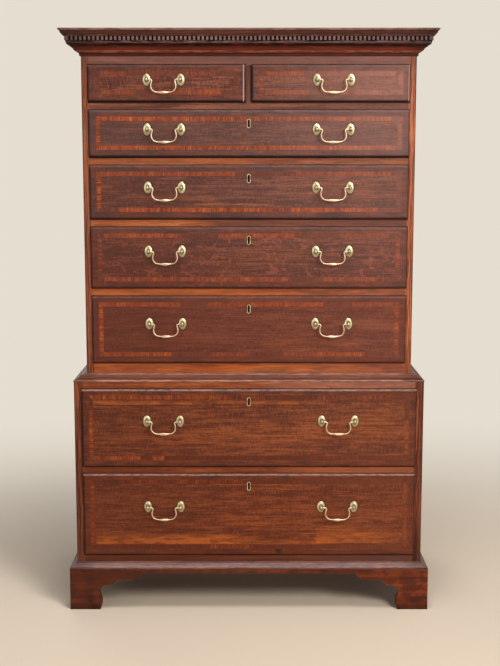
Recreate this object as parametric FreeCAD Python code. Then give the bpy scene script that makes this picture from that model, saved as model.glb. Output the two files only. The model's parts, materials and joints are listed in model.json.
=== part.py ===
"""Chest on chest in oak: a lower case on bracket feet with two long drawers, and an upper case that
lifts off it, with two short and four long drawers under a dentil cornice. Swan-neck brass handles.

Millimetres. +Z is up and the front faces -Y. The origin is on the floor, in the middle of the whole
width and depth.
"""
import FreeCAD
import Part
import math
import os

V = FreeCAD.Vector

# ---------------------------------------------------------------- the two cases
UPPER_WIDTH = 1004.0
UPPER_DEPTH = 504.0
CASE_STEP = 36.25  # the lower case stands out this far beyond the upper one, in front and at each side
UPPER_SIDE = 22.0  # thickness of the upper case sides
LOWER_SIDE = 26.0
BACK_BOARD = 12.0
BACK_PLANKS = 5
PLANK_GAP = 0.5
CASE_BOARD = 18.0  # thickness of the top and bottom boards
RAIL_DEPTH = 60.0
DIVISION = 24.0  # upright between the two short drawers

# heights, from the floor up
FOOT_HEIGHT = 130.5
LOWER_BOTTOM_RAIL = 39.5
LOWER_OPENINGS = [261.5, 244.5]  # clear height of each drawer opening, lowest first
LOWER_RAIL = 22.5
LOWER_TOP_RAIL = 23.0
UPPER_BOTTOM_RAIL = 52.5
UPPER_OPENINGS = [207.5, 186.2, 161.5, 138.8, 108.0]
UPPER_RAIL = 25.0
FRIEZE_RAIL = 97.0  # the upper case's top rail, which carries the cornice

# ---------------------------------------------------------------- what carries the drawers
RUNNER_WIDTH = 40.0
RUNNER_THICK = 18.0
CENTRE_RUNNER = 90.0
DUSTBOARD = 8.0
GUIDE_HEIGHT = 24.0
STOP_WIDTH = 45.0
STOP_DEPTH = 16.0
STOP_THICK = 6.0
STOP_INSET = 120.0  # from the end of the opening to the middle of a stop
STOP_PLAY = 0.2  # between a closed drawer front and its stops, less than the gap behind the lip

# ---------------------------------------------------------------- drawers
SIDE_PLAY = 1.5  # between the drawer and the sides of its opening
TOP_PLAY = 2.5
FOOT_PLAY = 0.3  # between the drawer and its runners
LIP_OVER = 3.5  # how far the lip covers the case at the top and the sides
LIP_UNDER = 1.5  # the lip's lower edge stands this far above the rail
LIP_THICK = 5.4
LIP_GAP = 0.3  # between the lip and the case front
THUMBNAIL = 5.0  # radius of the moulded edge
QUIRK = 0.8  # the field stands this far ahead of the moulded edge
EDGE_MARGIN = 6.5
FRONT_THICK = 20.0
LINING = 11.0  # thickness of the drawer sides and back
DRAWER_BOTTOM = 7.0
BOTTOM_RAISE = 8.0  # the drawer bottom lies this far above the lower edge of the sides
GROOVE = 4.5
BACK_DROP = 8.0  # the drawer back is this much lower than the sides
BEHIND_DRAWER = 15.0  # free space between a closed drawer and the back boards
TAIL_LENGTH = 14.0
TAIL_PITCH = 48.0
TAIL_ROOT = 22.0
TAIL_FLARE = 3.0  # a tail is this much wider at each edge at its end
BAND_INSET = 20.5  # from the lip's upper and lower edges
BAND_SIDE_INSET = 22.4  # from its ends
BAND_WIDTH = 14.0
BAND_THICK = 1.0

# ---------------------------------------------------------------- brasses
POST_SPACING = 102.0
UPPER_HANDLE_INSET = 225.0  # from the end of the opening to the middle of the handle
LOWER_HANDLE_INSETS = [249.25, 236.75]  # at the left end and at the right end
LOWER_HANDLE_DROPS = [107.0, 102.0]  # top of the lip to the posts, lowest drawer first
UPPER_HANDLE_DROPS = [87.0, 75.5, 69.0, 59.0, 45.7]
ROSE_WIDTH = 24.0
ROSE_HEIGHT = 36.0
ROSE_RIM = 1.0
ROSE_RIM_WIDTH = 1.4
ROSE_DOME = 2.4
ROSE_LAND = 2.0  # the dome is cut flat at this height over the rim, where the post's collar sits
SHANK_RADIUS = 3.0
SHANK_FIT = 0.05
COLLAR_RADIUS = 5.0
COLLAR_THICK = 2.0
NECK_RADIUS = 3.4
BALL_RADIUS = 5.0
BALL_REACH = 13.5  # from the drawer's face to the middle of the ball
NUT_SIZE = 12.0
NUT_THICK = 4.0
SHANK_END = 2.0  # beyond the nut
PIN_RADIUS = 2.0
PIN_FIT = 0.05
PIN_SHORT = 1.5  # the pin ends this far inside the ball
BAIL_RADIUS = 2.4
BAIL_SIDE_GAP = 0.3
BAIL_STUB = 6.5
BAIL_DROP = 38.5
NECK_BEND = 4.6
NECK_LEAN = 18.0  # degrees by which the arms lean outwards below the neck
SWAN_BEND = 34.0
CORNER_BEND = 18.0
GRIP_SLOPE = 8.0  # degrees
GRIP_RADIUS = 4.7
GRIP_LENGTH = 34.0
GRIP_END_RADIUS = 2.2

KEYHOLE_DROP = 41.5  # top of the lip to the middle of the keyhole
KEYHOLE_SPREAD = 8.2  # from the middle to the centres of its two round ends
KEYHOLE_TOP_RADIUS = 2.9
KEYHOLE_FOOT_RADIUS = 2.7
KEYHOLE_WAIST = 3.6
ESCUTCHEON_RIM = 2.8
ESCUTCHEON_DEPTH = 3.0
ESCUTCHEON_PROUD = 0.3
LOCK_WIDTH = 64.0
LOCK_DEPTH = 12.0
LOCK_WALL = 2.0
LOCK_BELOW_KEYHOLE = 22.0
KEY_PIN_RADIUS = 1.5
BOLT_WIDTH = 24.0
BOLT_HEIGHT = 14.0
BOLT_THICK = 5.0
BOLT_PLAY = 0.2
BOLT_MORTISE = 9.0

# ---------------------------------------------------------------- mouldings and feet
WAIST_HEIGHT = 22.5
WAIST_PROUD = 1.25  # the waist moulding's nosing stands this far beyond the lower case
WAIST_PLAY = 0.5
PLINTH_REACH = 21.75
PLINTH_MOULD_HEIGHT = 19.5
CORNICE_START = 27.6  # from the top of the uppermost opening to the foot of the cornice
BED_HEIGHT = 35.4
BED_REACH = 37.0
DENTIL_BED = 6.5  # the plain fillet under the dentils
DENTIL_HEIGHT = 12.8
DENTIL_CAP = 3.6
DENTIL_BED_STEP = 2.0  # the fillet under the dentils stands this far ahead of the bed moulding
DENTIL_STEP = 3.0  # and the dentils this far ahead of that fillet
DENTIL_CAP_STEP = 4.0
DENTIL_DEPTH = 6.0
DENTIL_PITCH = 12.9
DENTIL_GAP = 6.4
CROWN_HEIGHT = 17.5
CROWN_STEP = 3.5  # the foot of the crown moulding stands this far ahead of the dentils' cap
CROWN_SPREAD = 9.5
CROWN_FILLET = 5.0

PLINTH_BOARD = 24.0
FOOT_WIDTH = 94.0  # of a bracket foot where it meets the floor
BRACKET_SPREAD = 129.7  # from there to where its outline meets the skirt
SKIRT = 13.5  # depth of the plinth board between the feet
REAR_BRACKET = 135.0
REAR_BRACKET_RISE = 60.0
FOOT_BLOCK = 50.0
GLUE_BLOCK = 12.0
GLUE_BLOCK_DEPTH = 20.0
GLUE_BLOCK_LENGTH = 70.0

# ---------------------------------------------------------------- places that follow from the sizes
LOWER_WIDTH = UPPER_WIDTH + 2 * CASE_STEP
LOWER_DEPTH = UPPER_DEPTH + CASE_STEP
FACE_PROUD = LIP_GAP + LIP_THICK + QUIRK
DENTIL_REACH = BED_REACH + DENTIL_BED_STEP + DENTIL_STEP
CROWN_START = DENTIL_REACH + DENTIL_CAP_STEP + CROWN_STEP
CROWN_REACH = CROWN_START + CROWN_SPREAD
WHOLE_DEPTH = max(
    LOWER_DEPTH + FACE_PROUD + BALL_REACH + BALL_RADIUS,
    LOWER_DEPTH + PLINTH_REACH,
    UPPER_DEPTH + CROWN_REACH,
)
BACK = WHOLE_DEPTH / 2
UPPER_FRONT = BACK - UPPER_DEPTH
LOWER_FRONT = BACK - LOWER_DEPTH
BOARDS_FRONT = BACK - BACK_BOARD  # inner face of the back boards, in both cases


def opening_levels(start, heights, rail):
    """The bottom and top of each drawer opening, from the lowest up."""
    levels = []
    z = start
    for height in heights:
        levels.append((z, z + height))
        z += height + rail
    return levels


LOWER_LEVELS = opening_levels(FOOT_HEIGHT + LOWER_BOTTOM_RAIL, LOWER_OPENINGS, LOWER_RAIL)
LOWER_TOP = LOWER_LEVELS[-1][1] + LOWER_TOP_RAIL
UPPER_LEVELS = opening_levels(LOWER_TOP + UPPER_BOTTOM_RAIL, UPPER_OPENINGS, UPPER_RAIL)
UPPER_TOP = UPPER_LEVELS[-1][1] + FRIEZE_RAIL
CORNICE_FOOT = UPPER_LEVELS[-1][1] + CORNICE_START
DENTIL_FOOT = CORNICE_FOOT + BED_HEIGHT
CROWN_FOOT = DENTIL_FOOT + DENTIL_BED + DENTIL_HEIGHT + DENTIL_CAP


# ---------------------------------------------------------------- helpers
def box(x0, x1, y0, y1, z0, z1):
    return Part.makeBox(x1 - x0, y1 - y0, z1 - z0, V(x0, y0, z0))


def along_y(radius, y0, y1, x, z):
    """A round bar from y0 back to y1."""
    return Part.makeCylinder(radius, y1 - y0, V(x, y0, z), V(0, 1, 0))


def prism(points, direction):
    """The flat outline through the points, pushed along a direction."""
    return Part.Face(Part.makePolygon(points + [points[0]])).extrude(direction)


def outline(*steps):
    """A closed wire. A step of one point is a straight run to it, a step of two an arc through the first."""
    edges = []
    here = steps[0][0]
    for step in steps[1:] + (steps[0],):
        target = step[-1]
        if len(step) == 2:
            edges.append(Part.Arc(here, step[0], target).toShape())
        else:
            edges.append(Part.makeLine(here, target))
        here = target
    return Part.Wire(edges)


def mirrored(shape):
    return shape.mirror(V(0, 0, 0), V(1, 0, 0))


def save(name, solids):
    """One STEP file per node. A node of several pieces keeps them as separate solids."""
    solids = solids if isinstance(solids, list) else [solids]
    single = [part for shape in solids for part in shape.Solids]
    shape = single[0] if len(single) == 1 else Part.makeCompound(single)
    shape.exportStep("parts/" + name + ".step")


# ---------------------------------------------------------------- cases
def case_side(half, thick, front, z0, z1):
    """Right-hand case side, rebated at the back for the back boards."""
    board = box(half - thick, half, front, BACK, z0, z1)
    rebate = box(half - thick, half - thick / 2, BOARDS_FRONT, BACK, z0, z1)
    return board.cut(rebate)


def back_boards(half, thick, z0, z1):
    """Upright planks nailed into the rebates of the two sides."""
    reach = half - thick / 2
    pitch = 2 * reach / BACK_PLANKS
    planks = []
    for i in range(BACK_PLANKS):
        left = -reach + i * pitch + (PLANK_GAP / 2 if i else 0)
        right = -reach + (i + 1) * pitch - (PLANK_GAP / 2 if i < BACK_PLANKS - 1 else 0)
        planks.append(box(left, right, BOARDS_FRONT, BACK, z0, z1))
    return planks


def bolt_mortise(front, z):
    """The hole in a rail's underside that a lock's bolt rises into."""
    y0 = front + bolt_inset() - BOLT_PLAY
    half = BOLT_WIDTH / 2 + BOLT_PLAY
    return box(-half, half, y0, y0 + BOLT_THICK + 2 * BOLT_PLAY, z, z + BOLT_MORTISE)


def bolt_inset():
    """From the case front back to the front face of a lock bolt."""
    return LIP_GAP + FRONT_THICK - LOCK_DEPTH / 2 - BOLT_THICK / 2


def rails(inner, front, levels, bottom, top, locked):
    """Front rails from side to side: the bottom rail, one under each further opening, and the top rail."""
    edges = [bottom] + [level for pair in levels for level in pair] + [top]
    made = []
    for i in range(0, len(edges), 2):
        rail = box(-inner, inner, front, front + RAIL_DEPTH, edges[i], edges[i + 1])
        if 0 < i <= 2 * locked:
            rail = rail.cut(bolt_mortise(front, edges[i]))
        made.append(rail)
    return made


def division():
    """The upright between the two short drawers."""
    z0, z1 = UPPER_LEVELS[-1]
    return box(-DIVISION / 2, DIVISION / 2, UPPER_FRONT, UPPER_FRONT + RAIL_DEPTH, z0, z1)


def side_runners(inner, y0, z):
    """A pair of runners along the case sides, with their tops level with the opening."""
    return [
        box(-inner, RUNNER_WIDTH - inner, y0, BOARDS_FRONT, z - RUNNER_THICK, z),
        box(inner - RUNNER_WIDTH, inner, y0, BOARDS_FRONT, z - RUNNER_THICK, z),
    ]


def dustboard(x0, x1, y0, z):
    """A thin board between two runners, at their mid height."""
    low = z - (RUNNER_THICK + DUSTBOARD) / 2
    return box(x0, x1, y0, BOARDS_FRONT, low, low + DUSTBOARD)


def stops(x0, x1, front, z):
    """Two blocks glued on the rail, which the inside of the drawer front meets."""
    y0 = front - LIP_GAP + FRONT_THICK + STOP_PLAY
    return [
        box(x - STOP_WIDTH / 2, x + STOP_WIDTH / 2, y0, y0 + STOP_DEPTH, z, z + STOP_THICK)
        for x in (x0 + STOP_INSET, x1 - STOP_INSET)
    ]


def kickers(inner, y0, z, top):
    """Strips over the uppermost drawers, which keep them level when they are pulled out."""
    return [
        box(-inner, RUNNER_WIDTH - inner, y0, BOARDS_FRONT, z, top),
        box(inner - RUNNER_WIDTH, inner, y0, BOARDS_FRONT, z, top),
    ]


def lower_runners():
    inner = LOWER_WIDTH / 2 - LOWER_SIDE
    behind = LOWER_FRONT + RAIL_DEPTH
    z = LOWER_LEVELS[1][0]
    pieces = side_runners(inner, behind, z)
    pieces.append(dustboard(RUNNER_WIDTH - inner, inner - RUNNER_WIDTH, behind, z))
    pieces += kickers(inner, behind, LOWER_LEVELS[-1][1], LOWER_TOP - CASE_BOARD)
    for low, _ in LOWER_LEVELS:
        pieces += stops(-inner, inner, LOWER_FRONT, low)
    return pieces


def upper_runners():
    inner = UPPER_WIDTH / 2 - UPPER_SIDE
    behind = UPPER_FRONT + RAIL_DEPTH
    pieces = []
    for low, _ in UPPER_LEVELS[1:]:
        pieces += side_runners(inner, behind, low)
    for low, _ in UPPER_LEVELS[1:-1]:
        pieces.append(dustboard(RUNNER_WIDTH - inner, inner - RUNNER_WIDTH, behind, low))
    for low, _ in UPPER_LEVELS[:-1]:
        pieces += stops(-inner, inner, UPPER_FRONT, low)
    low, high = UPPER_LEVELS[-1]
    half = CENTRE_RUNNER / 2
    pieces.append(box(-half, half, behind, BOARDS_FRONT, low - RUNNER_THICK, low))
    pieces.append(box(-DIVISION / 2, DIVISION / 2, behind, BOARDS_FRONT, low, low + GUIDE_HEIGHT))
    pieces.append(dustboard(RUNNER_WIDTH - inner, -half, behind, low))
    pieces.append(dustboard(half, inner - RUNNER_WIDTH, behind, low))
    pieces += stops(-inner, -DIVISION / 2, UPPER_FRONT, low)
    pieces += stops(DIVISION / 2, inner, UPPER_FRONT, low)
    pieces += kickers(inner, behind, high, high + RUNNER_THICK)
    pieces.append(box(-half, half, behind, BOARDS_FRONT, high, high + RUNNER_THICK))
    return pieces


# ---------------------------------------------------------------- mouldings
def shares(foot, reach, height, steps, start=0):
    """A moulding's section from shares of its reach and height, as steps of (out, up)."""
    return [[(start + u * reach, foot + v * height) for u, v in step] for step in steps]


def mitred(section, half, front):
    """Three lengths of one moulding: the front and the two sides, mitred at the corners.

    The section is a list of outline steps of (out, up), out being the distance from the case."""
    far = max(point[0] for step in section for point in step) + 1
    low = min(point[1] for step in section for point in step) - 1
    high = max(point[1] for step in section for point in step) + 1
    up = V(0, 0, high - low)

    def placed(place):
        return Part.Face(outline(*[[place(p) for p in step] for step in section]))

    end = half + far
    front_run = placed(lambda p: V(-end, front - p[0], p[1])).extrude(V(2 * end, 0, 0))
    front_plan = [
        V(-half, front, low),
        V(-end, front - far, low),
        V(end, front - far, low),
        V(half, front, low),
    ]
    side_run = placed(lambda p: V(half + p[0], BACK, p[1])).extrude(V(0, front - far - BACK, 0))
    side_plan = [V(half, front, low), V(end, front - far, low), V(end, BACK, low), V(half, BACK, low)]
    front_piece = front_run.common(prism(front_plan, up))
    side_piece = side_run.common(prism(side_plan, up))
    return [front_piece, mirrored(side_piece), side_piece]


def bed_moulding():
    """The lowest member of the cornice: a small fillet, then a cyma that leans out to the dentils."""
    section = [
        [(0, 0)],
        [(0.095, 0)],
        [(0.122, 0.111), (0.095, 0.223)],
        [(0.203, 0.271)],
        [(0.392, 0.366), (0.541, 0.541)],
        [(0.689, 0.732), (0.905, 0.889)],
        [(1, 0.889)],
        [(1, 1)],
        [(0, 1)],
    ]
    return mitred(shares(CORNICE_FOOT, BED_REACH, BED_HEIGHT, section), UPPER_WIDTH / 2, UPPER_FRONT)


def dentil_moulding():
    """The dentil course: a band with notches cut across it, between two plain fillets."""
    teeth = DENTIL_FOOT + DENTIL_BED
    cap = teeth + DENTIL_HEIGHT
    bed = DENTIL_REACH - DENTIL_STEP
    section = [
        [(0, DENTIL_FOOT)],
        [(bed, DENTIL_FOOT)],
        [(bed, teeth - DENTIL_STEP / 2)],
        [(DENTIL_REACH, teeth)],
        [(DENTIL_REACH, cap)],
        [(DENTIL_REACH + DENTIL_CAP_STEP, cap)],
        [(DENTIL_REACH + DENTIL_CAP_STEP, CROWN_FOOT)],
        [(0, CROWN_FOOT)],
    ]
    front_piece, _, side_piece = mitred(section, UPPER_WIDTH / 2, UPPER_FRONT)
    floor = DENTIL_REACH - DENTIL_DEPTH
    outer = UPPER_WIDTH / 2 + DENTIL_REACH
    corner = UPPER_FRONT - DENTIL_REACH
    count = int(2 * outer / DENTIL_PITCH) - 1
    front_notches = []
    for i in range(count):
        x = (i - (count - 1) / 2) * DENTIL_PITCH - DENTIL_GAP / 2
        front_notches.append(box(x, x + DENTIL_GAP, corner - 1, UPPER_FRONT - floor, teeth, cap))
    side_notches = []
    for i in range(1, int((BACK - corner) / DENTIL_PITCH)):
        y = corner + i * DENTIL_PITCH - DENTIL_GAP / 2
        side_notches.append(box(UPPER_WIDTH / 2 + floor, outer + 1, y, y + DENTIL_GAP, teeth, cap))
    side_piece = side_piece.cut(side_notches)
    return [front_piece.cut(front_notches), mirrored(side_piece), side_piece]


def crown_moulding():
    """The top member: a cyma recta under a square fillet."""
    cyma = [
        [(0, 0)],
        [(0, 0.13)],
        [(0.307, 0.313), (0.426, 0.565)],
        [(0.544, 0.809), (0.852, 1)],
        [(1, 1)],
    ]
    curve = shares(CROWN_FOOT, CROWN_SPREAD, CROWN_HEIGHT - CROWN_FILLET, cyma, CROWN_START)
    top = CROWN_FOOT + CROWN_HEIGHT
    section = [[(0, CROWN_FOOT)]] + curve + [[(CROWN_REACH, top)], [(0, top)]]
    return mitred(section, UPPER_WIDTH / 2, UPPER_FRONT)


def waist_moulding():
    """Fixed on top of the lower case round the foot of the upper one: a round nosing, a step and a cove."""
    outer = [
        [(0.973, 0)],
        [(1, 0.144), (0.933, 0.289)],
        [(0.827, 0.289)],
        [(0.827, 0.378)],
        [(0.653, 0.476), (0.52, 0.689)],
        [(0.4, 0.844), (0.227, 0.889)],
        [(0.227, 1)],
    ]
    curve = shares(LOWER_TOP, CASE_STEP + WAIST_PROUD, WAIST_HEIGHT, outer)
    section = [[(WAIST_PLAY, LOWER_TOP)]] + curve + [[(WAIST_PLAY, LOWER_TOP + WAIST_HEIGHT)]]
    return mitred(section, UPPER_WIDTH / 2, UPPER_FRONT)


def plinth_moulding():
    """Round the foot of the lower case, on top of the plinth boards: a bead under an ogee."""
    section = [
        [(0, 0)],
        [(0.931, 0)],
        [(1, 0.087), (0.931, 0.174)],
        [(0.885, 0.174)],
        [(0.77, 0.436), (0.54, 0.564)],
        [(0.31, 0.692), (0.195, 0.897)],
        [(0.149, 1)],
        [(0, 1)],
    ]
    section = shares(FOOT_HEIGHT, PLINTH_REACH, PLINTH_MOULD_HEIGHT, section)
    return mitred(section, LOWER_WIDTH / 2, LOWER_FRONT)


# ---------------------------------------------------------------- plinth and feet
def bracket_steps(place):
    """The inner outline of one bracket foot, from the floor up to the skirt.

    place(u, v) puts a point that lies u in from the outer corner and v above the floor."""
    shape = [
        [(0, 0)],
        [(0.038, 0.205), (0, 0.393)],
        [(0.027, 0.594), (0.171, 0.675)],
        [(0.311, 0.692)],
        [(0.37, 0.778), (0.467, 0.816)],
        [(0.84, 0.825)],
        [(0.942, 0.876), (1, 1)],
    ]
    steps = shares(0, BRACKET_SPREAD, FOOT_HEIGHT - SKIRT, shape, FOOT_WIDTH)
    return [[place(u, v) for u, v in step] for step in steps]


def turned(steps):
    """The same outline walked the other way."""
    path = [step[-1] for step in steps]
    through = [step[0] if len(step) == 2 else None for step in steps]
    back = [[path[-1]]]
    for i in range(len(steps) - 1, 0, -1):
        back.append([through[i], path[i - 1]] if through[i] else [path[i - 1]])
    return back


def plinth_board(length, place):
    """A plinth board with a bracket foot at each end, as a flat face. place(u, v) runs from one end."""
    near = bracket_steps(place)
    far = turned(bracket_steps(lambda u, v: place(length - u, v)))
    top = [[place(length, FOOT_HEIGHT)], [place(0, FOOT_HEIGHT)]]
    return Part.Face(outline([place(0, 0)], *near, *far, [place(length, 0)], *top))


def plinth_front_board():
    half = LOWER_WIDTH / 2 + PLINTH_REACH
    front = LOWER_FRONT - PLINTH_REACH
    face = plinth_board(2 * half, lambda u, v: V(u - half, front, v))
    plan = [
        V(-half, front, 0),
        V(half, front, 0),
        V(half - PLINTH_BOARD, front + PLINTH_BOARD, 0),
        V(PLINTH_BOARD - half, front + PLINTH_BOARD, 0),
    ]
    return face.extrude(V(0, PLINTH_BOARD, 0)).common(prism(plan, V(0, 0, FOOT_HEIGHT)))


def plinth_side_boards():
    half = LOWER_WIDTH / 2 + PLINTH_REACH
    front = LOWER_FRONT - PLINTH_REACH
    face = plinth_board(BACK - front, lambda u, v: V(half, front + u, v))
    plan = [
        V(half, front, 0),
        V(half, BACK, 0),
        V(half - PLINTH_BOARD, BACK, 0),
        V(half - PLINTH_BOARD, front + PLINTH_BOARD, 0),
    ]
    right = face.extrude(V(-PLINTH_BOARD, 0, 0)).common(prism(plan, V(0, 0, FOOT_HEIGHT)))
    inner = half - PLINTH_BOARD
    bracket_plan = [
        V(inner, BACK, 0),
        V(inner, BACK, FOOT_HEIGHT),
        V(inner - REAR_BRACKET, BACK, FOOT_HEIGHT),
        V(inner - REAR_BRACKET, BACK, FOOT_HEIGHT - SKIRT),
        V(inner - REAR_BRACKET + REAR_BRACKET_RISE, BACK, FOOT_HEIGHT - REAR_BRACKET_RISE),
        V(inner - REAR_BRACKET + REAR_BRACKET_RISE, BACK, 0),
    ]
    rear = prism(bracket_plan, V(0, -PLINTH_BOARD, 0))
    return [mirrored(right), right, mirrored(rear), rear]


def foot_blocks():
    """Corner blocks that carry the case behind each foot, and glue blocks behind the front skirt."""
    inner = LOWER_WIDTH / 2 + PLINTH_REACH - PLINTH_BOARD
    front = LOWER_FRONT - PLINTH_REACH + PLINTH_BOARD
    back = BACK - PLINTH_BOARD
    blocks = []
    for x in (-inner, inner - FOOT_BLOCK):
        for y in (front, back - FOOT_BLOCK):
            blocks.append(box(x, x + FOOT_BLOCK, y, y + FOOT_BLOCK, 0, FOOT_HEIGHT))
    low = FOOT_HEIGHT - GLUE_BLOCK
    for x in (-inner / 2, 0, inner / 2):
        x -= GLUE_BLOCK_LENGTH / 2
        blocks.append(box(x, x + GLUE_BLOCK_LENGTH, front, front + GLUE_BLOCK_DEPTH, low, FOOT_HEIGHT))
    return blocks


# ---------------------------------------------------------------- drawers
class Drawer:
    """The places of one drawer, from its opening in the case."""

    def __init__(self, name, x0, x1, level, front, handles, drop, locked):
        self.name = name
        self.left = x0 + SIDE_PLAY
        self.right = x1 - SIDE_PLAY
        self.low = level[0] + FOOT_PLAY
        self.high = level[1] - TOP_PLAY
        self.lip = (x0 - LIP_OVER, x1 + LIP_OVER, level[0] + LIP_UNDER, level[1] + LIP_OVER)
        self.board_front = front - LIP_GAP
        self.board_back = front - LIP_GAP + FRONT_THICK
        self.face = front - FACE_PROUD
        self.end = BOARDS_FRONT - BEHIND_DRAWER
        self.handles = handles
        self.post_z = self.lip[3] - drop
        self.locked = locked


def tails(d, x0):
    """The dovetails on the front end of a drawer side whose inner or outer face is at x0."""
    low = d.low + BOTTOM_RAISE + DRAWER_BOTTOM
    count = max(2, round((d.high - low) / TAIL_PITCH))
    pitch = (d.high - low) / count
    root = TAIL_ROOT / 2
    end = root + TAIL_FLARE
    made = []
    for i in range(count):
        middle = low + (i + 0.5) * pitch
        points = [
            V(x0, d.board_back, middle - root),
            V(x0, d.board_back, middle + root),
            V(x0, d.board_back - TAIL_LENGTH, middle + end),
            V(x0, d.board_back - TAIL_LENGTH, middle - end),
        ]
        made.append(prism(points, V(LINING, 0, 0)))
    return made


def bottom_panel(d):
    """The drawer bottom: held in grooves at the front and the sides, and nailed up under the back."""
    z = d.low + BOTTOM_RAISE
    inset = LINING - GROOVE
    y0 = d.board_back - GROOVE
    return box(d.left + inset, d.right - inset, y0, d.end, z, z + DRAWER_BOTTOM)


def drawer_box(d):
    """Two sides with dovetails, the back and the bottom."""
    panel = bottom_panel(d)
    pieces = []
    for x0 in (d.left, d.right - LINING):
        side = box(x0, x0 + LINING, d.board_back, d.end, d.low, d.high)
        pieces.append(side.fuse(tails(d, x0)).removeSplitter().cut(panel))
    back_low = d.low + BOTTOM_RAISE + DRAWER_BOTTOM
    pieces.append(box(d.left + LINING, d.right - LINING, d.end - LINING, d.end, back_low, d.high - BACK_DROP))
    pieces.append(panel)
    return pieces


def keyhole(grow, y0, y1, z):
    """The keyhole's outline, widened by grow on every side, from y0 back to y1."""
    high = z + KEYHOLE_SPREAD
    low = z - KEYHOLE_SPREAD
    top = along_y(KEYHOLE_TOP_RADIUS + grow, y0, y1, 0, high)
    foot = along_y(KEYHOLE_FOOT_RADIUS + grow, y0, y1, 0, low)
    upper = KEYHOLE_WAIST / 2 + grow
    lower = KEYHOLE_FOOT_RADIUS + grow
    corners = [V(-upper, y0, high), V(upper, y0, high), V(lower, y0, low), V(-lower, y0, low)]
    return top.fuse([foot, prism(corners, V(0, y1 - y0, 0))]).removeSplitter()


def lock_space(d, inset):
    """The box of the lock in the back of the front board, inset on every side."""
    z0 = d.lip[3] - KEYHOLE_DROP - LOCK_BELOW_KEYHOLE
    return box(
        inset - LOCK_WIDTH / 2,
        LOCK_WIDTH / 2 - inset,
        d.board_back - LOCK_DEPTH + inset,
        d.board_back - inset,
        z0 + inset,
        d.high - inset,
    )


def lock(d):
    """A lock case with its key pin, and the bolt inside, drawn back level with the top of the case."""
    keyhole_z = d.lip[3] - KEYHOLE_DROP
    y0 = d.board_back - LOCK_DEPTH
    middle = y0 + LOCK_DEPTH / 2
    hollow = lock_space(d, LOCK_WALL)
    bolt = box(
        -BOLT_WIDTH / 2,
        BOLT_WIDTH / 2,
        middle - BOLT_THICK / 2,
        middle + BOLT_THICK / 2,
        d.high - BOLT_HEIGHT,
        d.high,
    )
    half = BOLT_WIDTH / 2 + BOLT_PLAY
    play = BOLT_THICK / 2 + BOLT_PLAY
    slot = box(-half, half, middle - play, middle + play, d.high - BOLT_HEIGHT, d.high + 1)
    case = lock_space(d, 0).cut([hollow, slot, keyhole(0, y0 - 1, y0 + LOCK_WALL + 1, keyhole_z)])
    key_pin = along_y(KEY_PIN_RADIUS, y0, d.board_back - LOCK_WALL / 2, 0, keyhole_z + KEYHOLE_SPREAD)
    return [case.fuse(key_pin).removeSplitter(), bolt]


def band_frame(d, y0, y1):
    """Four strips of crossbanding, mitred at the corners, between y0 and y1."""
    x0, x1, z0, z1 = d.lip
    a0, a1 = x0 + BAND_SIDE_INSET, x1 - BAND_SIDE_INSET
    c0, c1 = z0 + BAND_INSET, z1 - BAND_INSET
    b0, b1, e0, e1 = a0 + BAND_WIDTH, a1 - BAND_WIDTH, c0 + BAND_WIDTH, c1 - BAND_WIDTH
    strips = [
        [(a0, c1), (a1, c1), (b1, e1), (b0, e1)],
        [(a0, c0), (a1, c0), (b1, e0), (b0, e0)],
        [(a0, c0), (b0, e0), (b0, e1), (a0, c1)],
        [(a1, c0), (b1, e0), (b1, e1), (a1, c1)],
    ]
    return [prism([V(x, y0, z) for x, z in strip], V(0, y1 - y0, 0)) for strip in strips]


def lip_plate(d):
    """The moulded lip: a plate with a rounded front edge, and the field standing a little ahead of it."""
    x0, x1, z0, z1 = d.lip
    y0 = d.face + QUIRK
    plate = box(x0, x1, y0, d.board_front, z0, z1)
    front_edges = [e for e in plate.Edges if max(p.Point.y for p in e.Vertexes) < y0 + QUIRK / 2]
    moulded = plate.makeFillet(THUMBNAIL, front_edges)
    m = EDGE_MARGIN
    return moulded.fuse(box(x0 + m, x1 - m, d.face, y0 + THUMBNAIL / 2, z0 + m, z1 - m))


def post_places(d):
    return [x + side * POST_SPACING / 2 for x in d.handles for side in (-1, 1)]


def drawer_front(d):
    """The front board with its lip, and the four strips of banding let into it."""
    board = box(d.left, d.right, d.board_front, d.board_back, d.lip[2], d.high)
    front = lip_plate(d).fuse(board).removeSplitter()
    cuts = [bottom_panel(d)]
    cuts += tails(d, d.left) + tails(d, d.right - LINING)
    cuts += [along_y(SHANK_RADIUS + SHANK_FIT, d.face, d.board_back, x, d.post_z) for x in post_places(d)]
    bands = band_frame(d, d.face, d.face + BAND_THICK)
    grooves = band_frame(d, d.face - 1, d.face + BAND_THICK)
    if d.locked:
        z = d.lip[3] - KEYHOLE_DROP
        escutcheon = keyhole(ESCUTCHEON_RIM, d.face - 1, d.face + ESCUTCHEON_DEPTH, z)
        cuts += [lock_space(d, 0), escutcheon, keyhole(0, d.face, d.board_back - LOCK_DEPTH / 2, z)]
        bands[0] = bands[0].cut(escutcheon)
    return [front.cut(cuts).cut(grooves)] + bands


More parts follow.
